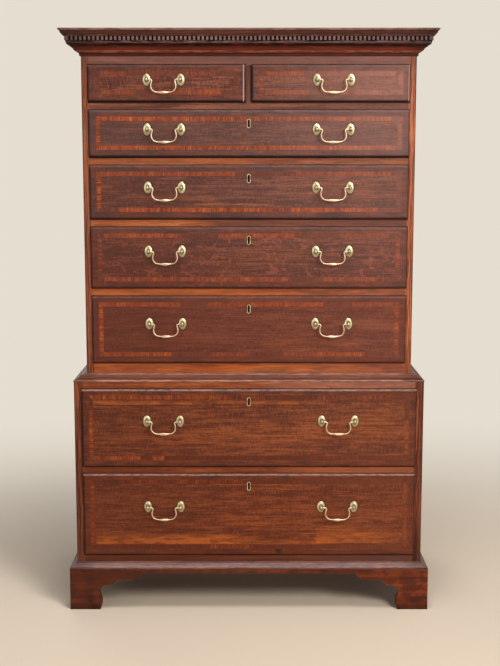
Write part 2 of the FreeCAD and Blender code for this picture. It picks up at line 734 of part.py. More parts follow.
def rose():
    """An oval domed plate, at the drawer's face and round the post."""
    a, b = ROSE_WIDTH / 2, ROSE_HEIGHT / 2
    rim = Part.Face(Part.Wire(Part.Ellipse(V(0, 0, b), V(a, 0, 0), V(0, 0, 0)).toShape()))
    rim = rim.extrude(V(0, -ROSE_RIM, 0))
    scale = FreeCAD.Matrix()
    scale.scale(V(a - ROSE_RIM_WIDTH, ROSE_DOME, b - ROSE_RIM_WIDTH))
    dome = Part.makeSphere(1.0).transformGeometry(scale)
    dome.translate(V(0, -ROSE_RIM, 0))
    keep = box(-a - 1, a + 1, -ROSE_RIM - ROSE_LAND, 0, -b - 1, b + 1)
    hole = along_y(SHANK_RADIUS + SHANK_FIT, -ROSE_RIM - ROSE_DOME, ROSE_DOME, 0, 0)
    return rim.fuse(dome.common(keep)).cut(hole)


def post(shank):
    """A turned post: shank through the drawer front, collar, neck and pierced ball."""
    seat = ROSE_RIM + ROSE_LAND
    meet = BALL_REACH - math.sqrt(BALL_RADIUS**2 - NECK_RADIUS**2)
    section = outline(
        [V(0, shank, 0)],
        [V(SHANK_RADIUS, shank, 0)],
        [V(SHANK_RADIUS, -seat, 0)],
        [V(COLLAR_RADIUS, -seat, 0)],
        [V(COLLAR_RADIUS, -seat - COLLAR_THICK, 0)],
        [V(NECK_RADIUS, -seat - 1.5 * COLLAR_THICK, 0)],
        [V(NECK_RADIUS, -meet, 0)],
        [V(BALL_RADIUS, -BALL_REACH, 0), V(0, -BALL_REACH - BALL_RADIUS, 0)],
    )
    body = Part.Face(section).revolve(V(0, 0, 0), V(0, 1, 0), 360)
    eye_start = V(-BALL_RADIUS, -BALL_REACH, 0)
    eye = Part.makeCylinder(PIN_RADIUS + PIN_FIT, 2 * BALL_RADIUS, eye_start, V(1, 0, 0))
    return body.cut(eye)


def nut(y0):
    half = NUT_SIZE / 2
    y1 = y0 + NUT_THICK
    return box(-half, half, y0, y1, -half, half).cut(along_y(SHANK_RADIUS + SHANK_FIT, y0, y1, 0, 0))


def drawer_brasses(d):
    """Roses, posts and nuts of each handle, and the escutcheon and lock of a long drawer."""
    through = d.board_back - d.face
    pieces = []
    for x in post_places(d):
        for piece in (rose(), post(through + NUT_THICK + SHANK_END), nut(through)):
            piece.translate(V(x, d.face, d.post_z))
            pieces.append(piece)
    if d.locked:
        z = d.lip[3] - KEYHOLE_DROP
        rim = keyhole(ESCUTCHEON_RIM, d.face - ESCUTCHEON_PROUD, d.face + ESCUTCHEON_DEPTH, z)
        pieces.append(rim.cut(keyhole(0, d.face - 1, d.face + ESCUTCHEON_DEPTH + 1, z)))
        pieces += lock(d)
    return pieces


class Walk:
    """A smooth path in the XZ plane, made of straight runs and tangent arcs."""

    def __init__(self, x, z, heading):
        self.x, self.z, self.heading = x, z, math.radians(heading)
        self.edges = []

    def line(self, length):
        start = V(self.x, 0, self.z)
        self.x += length * math.cos(self.heading)
        self.z += length * math.sin(self.heading)
        self.edges.append(Part.makeLine(start, V(self.x, 0, self.z)))

    def arc(self, radius, degrees):
        """Turns left by that many degrees, or right when they are negative."""
        turn = math.radians(degrees)
        side = math.copysign(math.pi / 2, turn)
        cx = self.x + radius * math.cos(self.heading + side)
        cz = self.z + radius * math.sin(self.heading + side)
        spokes = [self.heading - side + turn * share for share in (0, 0.5, 1)]
        points = [V(cx + radius * math.cos(a), 0, cz + radius * math.sin(a)) for a in spokes]
        self.edges.append(Part.Arc(*points).toShape())
        self.x, self.z = points[2].x, points[2].z
        self.heading += turn


def bail():
    """A swan-neck bail, hanging: pins outward into the posts, a bent neck each side and a swelled grip.

    Below each neck the arm leans out, then bends back until it hangs straight down where the wide
    corner starts. The leaning run is as long as the drop leaves it."""
    half = POST_SPACING / 2
    start = half - BALL_RADIUS - BAIL_SIDE_GAP
    walk = Walk(start, 0, 180)
    walk.line(BAIL_STUB)
    walk.arc(NECK_BEND, 90 + NECK_LEAN)
    lean = math.radians(NECK_LEAN)
    slope = math.radians(GRIP_SLOPE)
    bends_down = SWAN_BEND * math.sin(lean) + CORNER_BEND * math.cos(slope)
    bends_out = SWAN_BEND * (1 - math.cos(lean)) - CORNER_BEND * (1 - math.sin(slope))
    rise = math.tan(slope / 2)
    left_over = BAIL_DROP + walk.z - bends_down - (walk.x + bends_out) * rise
    walk.line(left_over / (math.cos(lean) + math.sin(lean) * rise))
    walk.arc(SWAN_BEND, -NECK_LEAN)
    walk.arc(CORNER_BEND, GRIP_SLOPE - 90)
    walk.arc(walk.x / math.sin(slope), -GRIP_SLOPE)
    ring = Part.Wire(Part.makeCircle(BAIL_RADIUS, V(start, 0, 0), V(-1, 0, 0)))
    arm = Part.Wire(walk.edges).makePipeShell([ring], True, False)
    swell = outline(
        [V(-GRIP_LENGTH / 2, 0, -BAIL_DROP)],
        [V(-GRIP_LENGTH / 2, 0, GRIP_END_RADIUS - BAIL_DROP)],
        [V(0, 0, GRIP_RADIUS - BAIL_DROP), V(GRIP_LENGTH / 2, 0, GRIP_END_RADIUS - BAIL_DROP)],
        [V(GRIP_LENGTH / 2, 0, -BAIL_DROP)],
    )
    grip = Part.Face(swell).revolve(V(0, 0, -BAIL_DROP), V(1, 0, 0), 360)
    pin_end = half + BALL_RADIUS - PIN_SHORT
    pin = Part.makeCylinder(PIN_RADIUS, pin_end - start + BAIL_STUB, V(start - BAIL_STUB, 0, 0), V(1, 0, 0))
    return arm.fuse([mirrored(arm), grip, pin, mirrored(pin)])


# ---------------------------------------------------------------- the whole chest
def drawer_list():
    """All the drawers, from the top row down."""
    upper = UPPER_WIDTH / 2 - UPPER_SIDE
    lower = LOWER_WIDTH / 2 - LOWER_SIDE
    half = DIVISION / 2
    level = UPPER_LEVELS[-1]
    drop = UPPER_HANDLE_DROPS[-1]
    handles = [UPPER_HANDLE_INSET - upper, upper - UPPER_HANDLE_INSET]
    drawers = [
        Drawer("drawer_1_left", -upper, -half, level, UPPER_FRONT, handles[:1], drop, False),
        Drawer("drawer_1_right", half, upper, level, UPPER_FRONT, handles[1:], drop, False),
    ]
    for level, drop in zip(UPPER_LEVELS[-2::-1], UPPER_HANDLE_DROPS[-2::-1]):
        name = f"drawer_{len(drawers)}"
        drawers.append(Drawer(name, -upper, upper, level, UPPER_FRONT, handles, drop, True))
    handles = [LOWER_HANDLE_INSETS[0] - lower, lower - LOWER_HANDLE_INSETS[1]]
    for level, drop in zip(LOWER_LEVELS[::-1], LOWER_HANDLE_DROPS[::-1]):
        name = f"drawer_{len(drawers)}"
        drawers.append(Drawer(name, -lower, lower, level, LOWER_FRONT, handles, drop, True))
    return drawers


def save_lower_case():
    half = LOWER_WIDTH / 2
    inner = half - LOWER_SIDE
    behind = LOWER_FRONT + RAIL_DEPTH
    side = case_side(half, LOWER_SIDE, LOWER_FRONT, FOOT_HEIGHT, LOWER_TOP)
    floor = LOWER_LEVELS[0][0]
    save("lower_side_right", side)
    save("lower_side_left", mirrored(side))
    save("lower_top_board", box(-inner, inner, behind, BOARDS_FRONT, LOWER_TOP - CASE_BOARD, LOWER_TOP))
    save("lower_bottom_board", box(-inner, inner, behind, BOARDS_FRONT, floor - CASE_BOARD, floor))
    save("lower_back_boards", back_boards(half, LOWER_SIDE, FOOT_HEIGHT, LOWER_TOP))
    save("lower_rails", rails(inner, LOWER_FRONT, LOWER_LEVELS, FOOT_HEIGHT, LOWER_TOP, len(LOWER_LEVELS)))
    save("lower_runners", lower_runners())
    save("waist_moulding", waist_moulding())
    save("plinth_moulding", plinth_moulding())
    save("plinth_front_board", plinth_front_board())
    save("plinth_side_boards", plinth_side_boards())
    save("foot_blocks", foot_blocks())


def save_upper_case():
    half = UPPER_WIDTH / 2
    inner = half - UPPER_SIDE
    behind = UPPER_FRONT + RAIL_DEPTH
    side = case_side(half, UPPER_SIDE, UPPER_FRONT, LOWER_TOP, UPPER_TOP)
    floor = UPPER_LEVELS[0][0]
    save("upper_side_right", side)
    save("upper_side_left", mirrored(side))
    save("upper_top_board", box(-inner, inner, behind, BOARDS_FRONT, UPPER_TOP - CASE_BOARD, UPPER_TOP))
    save("upper_bottom_board", box(-inner, inner, behind, BOARDS_FRONT, floor - CASE_BOARD, floor))
    save("upper_back_boards", back_boards(half, UPPER_SIDE, LOWER_TOP, UPPER_TOP))
    locked = len(UPPER_LEVELS) - 1
    front_rails = rails(inner, UPPER_FRONT, UPPER_LEVELS, LOWER_TOP, UPPER_TOP, locked)
    save("upper_rails", front_rails + [division()])
    save("upper_runners", upper_runners())
    save("cornice_bed_moulding", bed_moulding())
    save("cornice_dentils", dentil_moulding())
    save("cornice_crown_moulding", crown_moulding())


def save_drawers():
    hanging = bail()
    for d in drawer_list():
        save(d.name + "_front", drawer_front(d))
        save(d.name + "_box", drawer_box(d))
        save(d.name + "_brasses", drawer_brasses(d))
        sides = ["_bail"] if len(d.handles) == 1 else ["_bail_left", "_bail_right"]
        for side, x in zip(sides, d.handles):
            placed = hanging.copy()
            placed.translate(V(x, d.face - BALL_REACH, d.post_z))
            save(d.name + side, placed)


os.makedirs("parts", exist_ok=True)
save_lower_case()
save_upper_case()
save_drawers()
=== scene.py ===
# %% [markdown]
# # A chest on chest and how it is dressed
#
# The real thing is two chests of oak drawers, one standing on the other, made in the way of country
# cabinet makers of the 1760s. Its solids come ready made from the frame: they give every board its true
# size and every joint its place. This lesson adds what a solid can't hold: crossbanding laid in short
# pieces, cast brass handles with a swell to them, and two and a half centuries of wax, light and knocks.

# %% The frame
import json
import math
import random
from dataclasses import dataclass
from functools import reduce

import bmesh
import bpy
from mathutils import Matrix, Vector

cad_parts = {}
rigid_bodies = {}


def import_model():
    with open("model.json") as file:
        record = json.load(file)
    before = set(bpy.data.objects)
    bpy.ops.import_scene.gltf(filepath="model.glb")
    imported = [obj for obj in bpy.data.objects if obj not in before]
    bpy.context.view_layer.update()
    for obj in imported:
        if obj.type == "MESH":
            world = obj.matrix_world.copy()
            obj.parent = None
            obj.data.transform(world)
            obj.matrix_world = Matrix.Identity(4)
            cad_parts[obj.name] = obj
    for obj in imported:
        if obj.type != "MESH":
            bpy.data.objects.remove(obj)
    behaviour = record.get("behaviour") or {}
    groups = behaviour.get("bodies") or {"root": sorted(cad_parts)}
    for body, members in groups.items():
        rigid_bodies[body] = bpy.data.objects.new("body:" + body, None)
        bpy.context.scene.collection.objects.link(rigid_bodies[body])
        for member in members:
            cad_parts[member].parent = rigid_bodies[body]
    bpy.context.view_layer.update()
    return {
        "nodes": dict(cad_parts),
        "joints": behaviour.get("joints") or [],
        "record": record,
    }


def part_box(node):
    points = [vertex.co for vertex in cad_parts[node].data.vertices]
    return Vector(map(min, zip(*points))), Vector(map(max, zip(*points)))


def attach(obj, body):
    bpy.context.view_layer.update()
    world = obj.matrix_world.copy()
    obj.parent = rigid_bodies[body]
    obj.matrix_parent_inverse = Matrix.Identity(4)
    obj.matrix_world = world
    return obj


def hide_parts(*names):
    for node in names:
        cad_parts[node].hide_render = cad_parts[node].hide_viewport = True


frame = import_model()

MM = 0.001

# %% [markdown]
# The camera stands a little above the middle of the chest and looks slightly down, from three and a half
# metres away. A long lens at that distance keeps the uprights almost parallel, as furniture is usually
# shown. Depth of field stays off, so that every edge is sharp from any side.

# %% Camera
LENS = 62.97
CAMERA_PLACE = (0.0035, -3.78125, 1.3725)
CAMERA_TILT = 8.06  # degrees below level


def link(name, data):
    """Puts a new object into the scene."""
    made = bpy.data.objects.new(name, data)
    bpy.context.scene.collection.objects.link(made)
    return made


lens = bpy.data.cameras.new("camera")
lens.lens = LENS
lens.sensor_width = 36
lens.dof.use_dof = False
camera = link("camera", lens)
camera.location = CAMERA_PLACE
camera.rotation_euler = (math.radians(90 - CAMERA_TILT), 0, 0)
bpy.context.scene.camera = camera
print("camera at", CAMERA_PLACE)

# %% [markdown]
# Old waxed wood is dark, and its shape shows mostly in what it reflects. Three large soft lamps do that:
# a window-like one high on the right, a broad one on the left that opens the shadows, and one overhead
# that lights each drawer's upper edge, where a painted highlight also lies. A fourth stands behind, for
# views of the back. The level is plain, so a colour comes out about as it is written.

# %% Light
MIDDLE = (0, 0, 0.9)


def lamp(name, place, aim, size, power, tint):
    """A square area lamp that looks at a point."""
    data = bpy.data.lights.new(name, "AREA")
    data.size = size
    data.energy = power
    data.color = tint
    made = link(name, data)
    made.location = place
    made.rotation_euler = (Vector(aim) - Vector(place)).to_track_quat("-Z", "Y").to_euler()
    made.visible_camera = False


lamp("window", (2.0, -3.3, 2.6), MIDDLE, 1.3, 105, (1.0, 0.97, 0.92))
lamp("fill", (-2.8, -2.6, 1.5), MIDDLE, 2.2, 16, (0.96, 0.97, 1.0))
lamp("overhead", (0.2, -1.0, 3.6), (0, -0.1, 0.8), 0.9, 42, (0.98, 0.97, 1.0))
lamp("behind", (-1.5, 3.0, 2.4), MIDDLE, 2.0, 25, (1.0, 0.98, 0.95))
print("lamps:", len(bpy.data.lights))

# %% [markdown]
# Shaders are easier to read as sums than as webs of nodes. One small class wraps a socket, so that adding
# or multiplying two of them adds a Math node, or a Vector Math node where they are vectors. Every other
# node comes from one method, `node`, which takes the node's type, its settings and what its sockets get.

# %% Shader arithmetic
class Socket:
    """One output of a shader node, with Python's arithmetic on it."""

    def __init__(self, nodes, output):
        self.nodes = nodes
        self.output = output
        self.family = "ShaderNodeVectorMath" if output.type in ("VECTOR", "RGBA") else "ShaderNodeMath"

    def apply(self, operation, *values):
        return self.nodes.node(self.family, {"operation": operation}, dict(enumerate(values)))

    def __add__(self, other):
        return self.apply("ADD", self, other)

    def __sub__(self, other):
        return self.apply("SUBTRACT", self, other)

    def __rsub__(self, other):
        return self.apply("SUBTRACT", other, self)

    def __mul__(self, other):
        return self.apply("MULTIPLY", self, other)

    def __truediv__(self, other):
        return self.apply("DIVIDE", self, other)

    def __abs__(self):
        return self.apply("ABSOLUTE", self)

    __radd__ = __add__
    __rmul__ = __mul__

    def least(self, other):
        return self.apply("MINIMUM", self, other)

    def most(self, other):
        return self.apply("MAXIMUM", self, other)

    def whole(self):
        return self.apply("FLOOR", self)


# %% Nodes
class Nodes:
    """The node tree of a material or a world, and the one method that adds nodes to it."""

    def __init__(self, owner):
        owner.use_nodes = True
        self.tree = owner.node_tree

    def node(self, kind, settings=None, sockets=None, out=0):
        made = self.tree.nodes.new(kind)
        for key, value in (settings or {}).items():
            if key == "stops":
                self.stops(made.color_ramp.elements, value)
            else:
                setattr(made, key, value)
        self.feed(made, sockets or {})
        return Socket(self, made.outputs[out])

    def feed(self, node, sockets):
        for key, value in sockets.items():
            if isinstance(value, Socket):
                self.tree.links.new(value.output, node.inputs[key])
            elif node.inputs[key].type == "VECTOR" and isinstance(value, (int, float)):
                node.inputs[key].default_value = (value,) * 3
            else:
                node.inputs[key].default_value = value

    def stops(self, elements, stops):
        while len(elements) < len(stops):
            elements.new(0.5)
        for element, (position, colour) in zip(elements, stops):
            element.position = position
            element.color = colour

    def seen(self):
        """1 for what the camera sees, directly or in a reflection, and 0 for light that falls on things."""
        direct = self.node("ShaderNodeLightPath", out="Is Camera Ray")
        return direct.most(self.node("ShaderNodeLightPath", out="Is Glossy Ray"))


# %% [markdown]
# A finish is a colour that is built up coat by coat, as on the real thing: bare wood first, then stain,
# then bleaching by the sun, then wax and dirt. So `lay` lays a tint over what is there, and a few helpers
# say where: `step` and `fall` go up or down between two places, `between` does both, and `noise` takes
# the size of its features in metres, because that is how one thinks of grain.

# %% One material
TONE_STOPS = (0.34, 0.5, 0.66)


def srgb(red, green, blue):
    """A colour as a screen shows it, from 0 to 255, turned into the linear numbers that shaders take."""
    parts = [c / 255 for c in (red, green, blue)]
    return tuple(c / 12.92 if c <= 0.04045 else ((c + 0.055) / 1.055) ** 2.4 for c in parts) + (1.0,)


def tones(*colours):
    return [srgb(*colour) for colour in colours]


class Finish(Nodes):
    """A material: a Principled shader, the place of each point, and the colour so far."""

    def __init__(self, name):
        self.material = bpy.data.materials.new(name)
        super().__init__(self.material)
        self.shader = self.tree.nodes["Principled BSDF"]
        self.place = self.node("ShaderNodeTexCoord", out="Object")
        parts = self.node("ShaderNodeSeparateXYZ", sockets={0: self.place}).output.node
        self.x, self.y, self.z = (Socket(self, output) for output in parts.outputs)

    def noise(self, size, seed, detail=2.0, point=None, out=0):
        """Noise whose features are about `size` metres, which may be one number or one for each axis."""
        sizes = [size] * 3 if isinstance(size, float) else size
        shift = (seed, seed * 1.7, -seed)
        closer = [1 / s for s in sizes]
        sockets = {"Vector": point or self.place, "Location": shift, "Scale": closer}
        scaled = self.node("ShaderNodeMapping", sockets=sockets)
        sockets = {"Vector": scaled, "Scale": 1.0, "Detail": detail}
        return self.node("ShaderNodeTexNoise", sockets=sockets, out=out)

    def attribute(self, name):
        return self.node("ShaderNodeAttribute", {"attribute_name": name}, out="Fac")

    def step(self, value, low, high):
        """0 below low, 1 above high, and a smooth rise between."""
        sockets = {"Value": value, "From Min": low, "From Max": high}
        return self.node("ShaderNodeMapRange", {"interpolation_type": "SMOOTHSTEP"}, sockets)

    def fall(self, value, low, high):
        """1 below low, 0 above high, and a smooth fall between."""
        return 1 - self.step(value, low, high)

    def between(self, value, low, high, soft):
        """1 from low to high, 0 outside, with a soft change at either end."""
        return self.step(value, low - soft, low + soft) * self.fall(value, high - soft, high + soft)

    def ramp(self, value, stops):
        return self.node("ShaderNodeValToRGB", {"stops": stops}, {0: value})

    def toned(self, value, wood_tones):
        """Dark, middle or light wood, for a tone from 0 to 1."""
        return self.ramp(value, list(zip(TONE_STOPS, wood_tones)))

    def mix(self, share, first, second):
        return self.node("ShaderNodeMix", {"data_type": "RGBA"}, {0: share, 6: first, 7: second}, out=2)

    def lay(self, share, tint):
        """Lays a tint over the colour so far: a share of 0 leaves it as it is, 1 covers it."""
        self.colour = self.mix(share, self.colour, tint)

    def bump(self, height, depth):
        """A normal for relief that is `depth` metres deep."""
        return self.node("ShaderNodeBump", sockets={"Height": height, "Distance": depth, "Strength": 1.0})


# %% [markdown]
# The floor and the space around are a plain studio: a pale floor that fades into a pale, warm background.
# The background is seen by the camera and in reflections, while the light that falls on the chest from
# all around is set apart, so the one can change without the other.

# %% Floor and background
WALL = srgb(229, 222, 208)
DAYLIGHT = (0.95, 0.97, 1.0, 1)
FLOOR_RADIUS = 14
FADE_MIDDLE = (0, -1.4, 0)
FADE_START, FADE_END = 1.6, 4.2


def to_mesh(shape, name):
    """Turns a bmesh into a mesh, and lets the bmesh go."""
    mesh = bpy.data.meshes.new(name)
    shape.to_mesh(mesh)
    shape.free()
    return mesh


def studio():
    world = bpy.data.worlds.new("studio")
    bpy.context.scene.world = world
    sky = Nodes(world)
    light = sky.tree.nodes["Background"]
    sky.feed(light, {"Color": DAYLIGHT, "Strength": 0.3})
    backdrop = sky.node("ShaderNodeBackground", sockets={"Color": WALL})
    sockets = {0: sky.seen(), 1: Socket(sky, light.outputs[0]), 2: backdrop}
    sky.feed(sky.tree.nodes["World Output"], {"Surface": sky.node("ShaderNodeMixShader", sockets=sockets)})


def floor():
    shape = bmesh.new()
    bmesh.ops.create_circle(shape, cap_ends=True, segments=96, radius=FLOOR_RADIUS)
    mesh = to_mesh(shape, "floor")
    finish = Finish("floor_finish")
    from_middle = finish.place - FADE_MIDDLE
    outward = finish.node("ShaderNodeVectorMath", {"operation": "LENGTH"}, {0: from_middle}, out="Value")
    ground = finish.mix(finish.noise(0.004, 3, 3), srgb(226, 207, 184), srgb(237, 221, 199))
    finish.feed(finish.shader, {"Base Color": ground, "Roughness": 0.9, "Specular IOR Level": 0.1})
    glow = finish.node("ShaderNodeEmission", sockets={"Color": WALL})
    faded = finish.step(outward, FADE_START, FADE_END) * finish.seen()
    sockets = {0: faded, 1: Socket(finish, finish.shader.outputs[0]), 2: glow}
    both = finish.node("ShaderNodeMixShader", sockets=sockets)
    finish.feed(finish.tree.nodes["Material Output"], {"Surface": both})
    mesh.materials.append(finish.material)
    made = link("floor", mesh)


studio()
floor()
print("studio ready")

# %% [markdown]
# ## Oak
#
# Oak has three things to show. Its tone drifts in long bands along the grain. Its pores are fine dark
# dashes, also along the grain. And where the saw has met the rays, short pale flecks wander across it.
# All three come from noise that is stretched along one axis, so that a rail and a case side, whose grain
# runs differently, can share one function.

# %% Grain
FLECK = srgb(176, 92, 58)
PORE = srgb(38, 22, 18)


def along(axis, length, width):
    """Feature sizes for noise that is drawn out along one axis."""
    return [length if name == axis else width for name in "XYZ"]


def grain(wood, axis, seed):
    """The tone of the wood from 0 to 1, its pores and its flecks, for grain along an axis."""
    wander = wood.noise(0.32, seed + 40, 1, out=1)
    bent = wood.place + (wander - 0.5) * along(axis, 0.0, 0.022)
    broad = wood.noise(along(axis, 0.55, 0.045), seed, 2, bent)
    bands = wood.noise(along(axis, 0.30, 0.011), seed + 11, 3, bent)
    threads = wood.noise(along(axis, 0.10, 0.0028), seed + 23, 2, bent)
    tone = broad * 0.40 + bands * 0.34 + threads * 0.26
    pores = wood.step(wood.noise(along(axis, 0.022, 0.0009), seed + 31, 1, bent), 0.56, 0.68)
    ridge = abs(wood.noise(along(axis, 0.034, 0.017), seed + 57, 2) - 0.5)
    where = wood.step(wood.noise(along(axis, 0.10, 0.06), seed + 71, 1), 0.48, 0.62)
    return tone, pores, wood.fall(ridge, 0.006, 0.028) * where


def oak(name, axis, seed, wood_tones, flecks=0.25):
    """Oak with grain along an axis: its tone, its colour and its relief, not yet joined to the shader."""
    wood = Finish(name)
    wood.tone, pores, rays = grain(wood, axis, seed)
    wood.colour = wood.toned(wood.tone, wood_tones)
    wood.lay(rays * flecks, FLECK)
    wood.lay(pores * 0.45, PORE)
    wood.relief = wood.tone * 0.5 - pores
    return wood


def wax(wood, shine=0.38, coat=0.03, depth=0.00035):
    """Joins colour and relief to the shader, under a thin coat of wax, duller where the tone is light."""
    wood.feed(
        wood.shader,
        {
            "Base Color": wood.colour,
            "Roughness": wood.tone * 0.25 + (shine - 0.05),
            "Normal": wood.bump(wood.relief, depth),
            "Specular IOR Level": 0.14,
            "Coat Weight": coat,
            "Coat Roughness": 0.25,
        },
    )
    return wood.material


# %% [markdown]
# Boards that stay bare inside the cases have never seen wax. They are greyer and flatter, and darkest
# where air and dust reach them. At the back they are planks, no two of one tone, with a dark joint
# between each pair: the number of the plank that a point lies on goes through White Noise and comes out
# as that plank's own tone.

# %% Bare boards
BACK_PLANKS = 5
PLANK_JOINT = 1.6 * MM
DUST = srgb(110, 84, 68)
OPEN_JOINT = srgb(24, 17, 13)
GREY_OAK = tones((60, 40, 30), (124, 90, 66))


def planked(wood, seed, node, dark):
    """Gives each plank of a node its own tone, and darkens the joints."""
    low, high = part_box(node)
    pitch = (high.x - low.x) / BACK_PLANKS
    planks = (wood.x - low.x) / pitch
    number = planks.whole()
    settings = {"noise_dimensions": "1D"}
    chance = wood.node("ShaderNodeTexWhiteNoise", settings, {"W": number + seed}, out="Value")
    wood.lay(chance * 0.45, dark)
    from_joint = 0.5 - abs(planks - number - 0.5)
    wood.lay(wood.fall(from_joint, PLANK_JOINT / pitch * 0.4, PLANK_JOINT / pitch) * 0.85, OPEN_JOINT)


def bare(name, axis, seed, wood_tones, planks=None):
    """Unwaxed oak. `planks` is the node of upright planks that it is for."""
    dark, light = wood_tones
    middle = tuple((a + b) / 2 for a, b in zip(dark, light))
    wood = oak(name, axis, seed, [dark, middle, light], 0.12)
    wood.lay(wood.noise(0.2, seed + 90, 3) * 0.35, DUST)
    if planks:
        planked(wood, seed, planks, dark)
    return wax(wood, 0.75, 0.0, 0.0006)


LINING_UPRIGHT = bare("bare_oak_upright", "Z", 5, GREY_OAK)
LINING_LEVEL = bare("bare_oak_level", "X", 7, tones((66, 44, 34), (134, 98, 74)))
LINING_DEEP = bare("bare_oak_deep", "Y", 9, tones((94, 64, 46), (166, 126, 94)))
UPPER_PLANKS = bare("bare_oak_upper_planks", "Z", 5, GREY_OAK, "upper_back_boards")
LOWER_PLANKS = bare("bare_oak_lower_planks", "Z", 8, GREY_OAK, "lower_back_boards")
print("bare boards ready")

# %% [markdown]
# ## Where the drawers are
#
# The frame says which bodies are drawers and where each one's front board lies. Its joints say where the
# handles hang. From those two facts the rest of this lesson works out all its places.

# %% Drawers and their handles
class Drawer:
    """A drawer's body, the box of its front board, and the places of its handles."""

    def __init__(self, name):
        self.name = name
        self.low, self.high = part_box(name + "_front")
        self.size = self.high - self.low
        self.middle = (self.low + self.high) / 2
        self.half = self.size / 2
        self.face = self.low.y
        self.locked = "left" not in name and "right" not in name
        turning = [j for j in frame["joints"] if j["parent"] == name]
        self.handles = [(j["child"], Vector(j["pos_m"])) for j in turning]

    def shares(self, wood):
        """Where a point of the front lies, as shares of its width and height."""
        return (wood.x - self.low.x) / self.size.x, (wood.z - self.low.z) / self.size.z


bodies = frame["record"]["behaviour"]["bodies"]
drawers = [Drawer(name) for name, nodes in bodies.items() if name + "_front" in nodes]
print("drawers:", len(drawers), "handles:", sum(len(d.handles) for d in drawers))

# %% [markdown]
# ## The cases
#
# A CAD node whose shape is right keeps it and only gets its finish. A dark line is painted on the case
# round every drawer, just outside its lip: partly dirt where no cloth gets in, partly painted shade in
# the gap beside and under the lip. It is worked out from the distance to the nearest of all the
# drawers' outlines.

# %% Painting nodes
# black wax, and also the black used for painted shade in gaps, hollows and holes
BLACK_WAX_AND_SHADE = srgb(26, 12, 8)
LIP_SHADE_REACH = 3.4 * MM  # how far the painted shade and dirt reach out from their line
LIP_DROP = 1.8 * MM  # its line lies lower than the lip, and within it at the sides


def paint(material, *names):
    """Gives nodes of the frame a finish."""
    for name in names:
        slots = frame["nodes"][name].data.materials
        slots.clear()
        slots.append(material)
    print(material.name, "on", ", ".join(names))


def lip_shade_and_dirt(wood, front):
    """1 in the painted line of shade and dirt round each drawer, on the case's front. It is fainter low down.
    """
    outside = []
    for drawer in drawers:
        across = abs(wood.x - drawer.middle.x) - (drawer.half.x - LIP_DROP)
        outside.append(across.most(abs(wood.z - (drawer.middle.z - LIP_DROP)) - drawer.half.z))
    near = wood.fall(reduce(Socket.least, outside), LIP_SHADE_REACH * 0.3, LIP_SHADE_REACH)
    kept = wood.step(wood.z, 0.9, 1.42) * 0.45 + 0.5
    return wood.fall(wood.y, front + 0.5 * MM, front + MM) * near * kept


# %% [markdown]
# A case side is one wide board on end. Its grain is upright and a little wavy, so the noise that draws it
# is bent by a second, larger one. Its front edge shows beside the drawers and is darker at its outer
# corner and near the floor. Its side faces and, by `shade`, its left part are painted darker as shade.

# %% Case sides
CORNER_DARK = srgb(58, 32, 20)
SHADED_SIDE = srgb(66, 36, 26)
DUSTY_TOP = srgb(112, 74, 64)


def side_finish(case, seed, wood_tones, shade):
    """Upright wavy grain. It is darker at its corner, behind, low down and, by `shade`, at the left."""
    dark, _, light = wood_tones
    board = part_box(case + "_side_left")[0]
    front, half_width = board.y, -board.x
    wood = oak(case + "_case_oak", "Z", seed, wood_tones, 0.1)
    bend = (wood.noise((0.3, 0.3, 0.06), seed + 80, 1, out=1) - 0.5) * (0.012, 0, 0)
    wavy = wood.noise(along("Z", 0.16, 0.0042), seed + 81, 3, wood.place + bend)
    wood.lay(wood.fall(wavy, 0.38, 0.49) * 0.7, dark)
    wood.lay(wood.step(wavy, 0.53, 0.64) * 0.55, light)
    wood.lay(wood.fall(wood.x, -0.3, 0.3) * shade, dark)
    wood.lay(wood.fall(wood.z, 0.14, 0.42) * (wood.step(wood.x, -0.3, 0.3) * 0.6 + 0.15), dark)
    wood.lay(wood.step(wood.z, 1.58, 1.68) * 0.4, DUSTY_TOP)
    wood.lay(wood.step(abs(wood.x), half_width - 4 * MM, half_width - MM) * 0.6, CORNER_DARK)
    wood.lay(wood.step(wood.y, front + 2 * MM, front + 30 * MM) * 0.45, SHADED_SIDE)
    # painted shade and dirt round each drawer's lip
    wood.lay(lip_shade_and_dirt(wood, front), BLACK_WAX_AND_SHADE)
    return wax(wood)


for case, seed, wood_tones, shade in (
    ("upper", 3, tones((84, 40, 26), (146, 76, 50), (200, 122, 84)), 0.42),
    ("lower", 6, tones((62, 29, 19), (112, 56, 37), (166, 92, 60)), 0.15),
):
    paint(side_finish(case, seed, wood_tones, shade), case + "_side_left", case + "_side_right")

# %% [markdown]
# Rails are narrow and lie level between the drawers. No two have aged alike: some have stretches that are
# still bright, others have gone dull. So each rail is found by the drawer below it, and a run of it, from
# one place to another, leans to a tint of its own. The upright between the two short drawers belongs to
# the same node, and its grain stands on end.

# %% Rails
GREY_PLUM = srgb(116, 82, 76)
DUSTY_FRIEZE = srgb(156, 110, 101)
BRIGHT_RAIL = srgb(208, 116, 62)
DULL_RAIL = srgb(92, 62, 58)
PALE_RAIL = srgb(200, 145, 125)
DARK_RAIL = srgb(60, 28, 19)
RUN_FADE = 50 * MM
RAIL_REACH = 80 * MM  # more than any rail's height, and less than the way up to the next one
DIVISION_HALF = 12 * MM
DIVISION_RISE = 3 * MM  # how far the upright goes on above the drawer's side


def run_along(wood, drawer, left, right):
    """1 in a run of the rail above a drawer."""
    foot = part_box(drawer + "_front")[1].z
    here = wood.between(wood.x, left, right, RUN_FADE) * wood.step(wood.z, foot - 2 * MM, foot)
    return here * wood.fall(wood.z, foot + RAIL_REACH, foot + RAIL_REACH + MM)


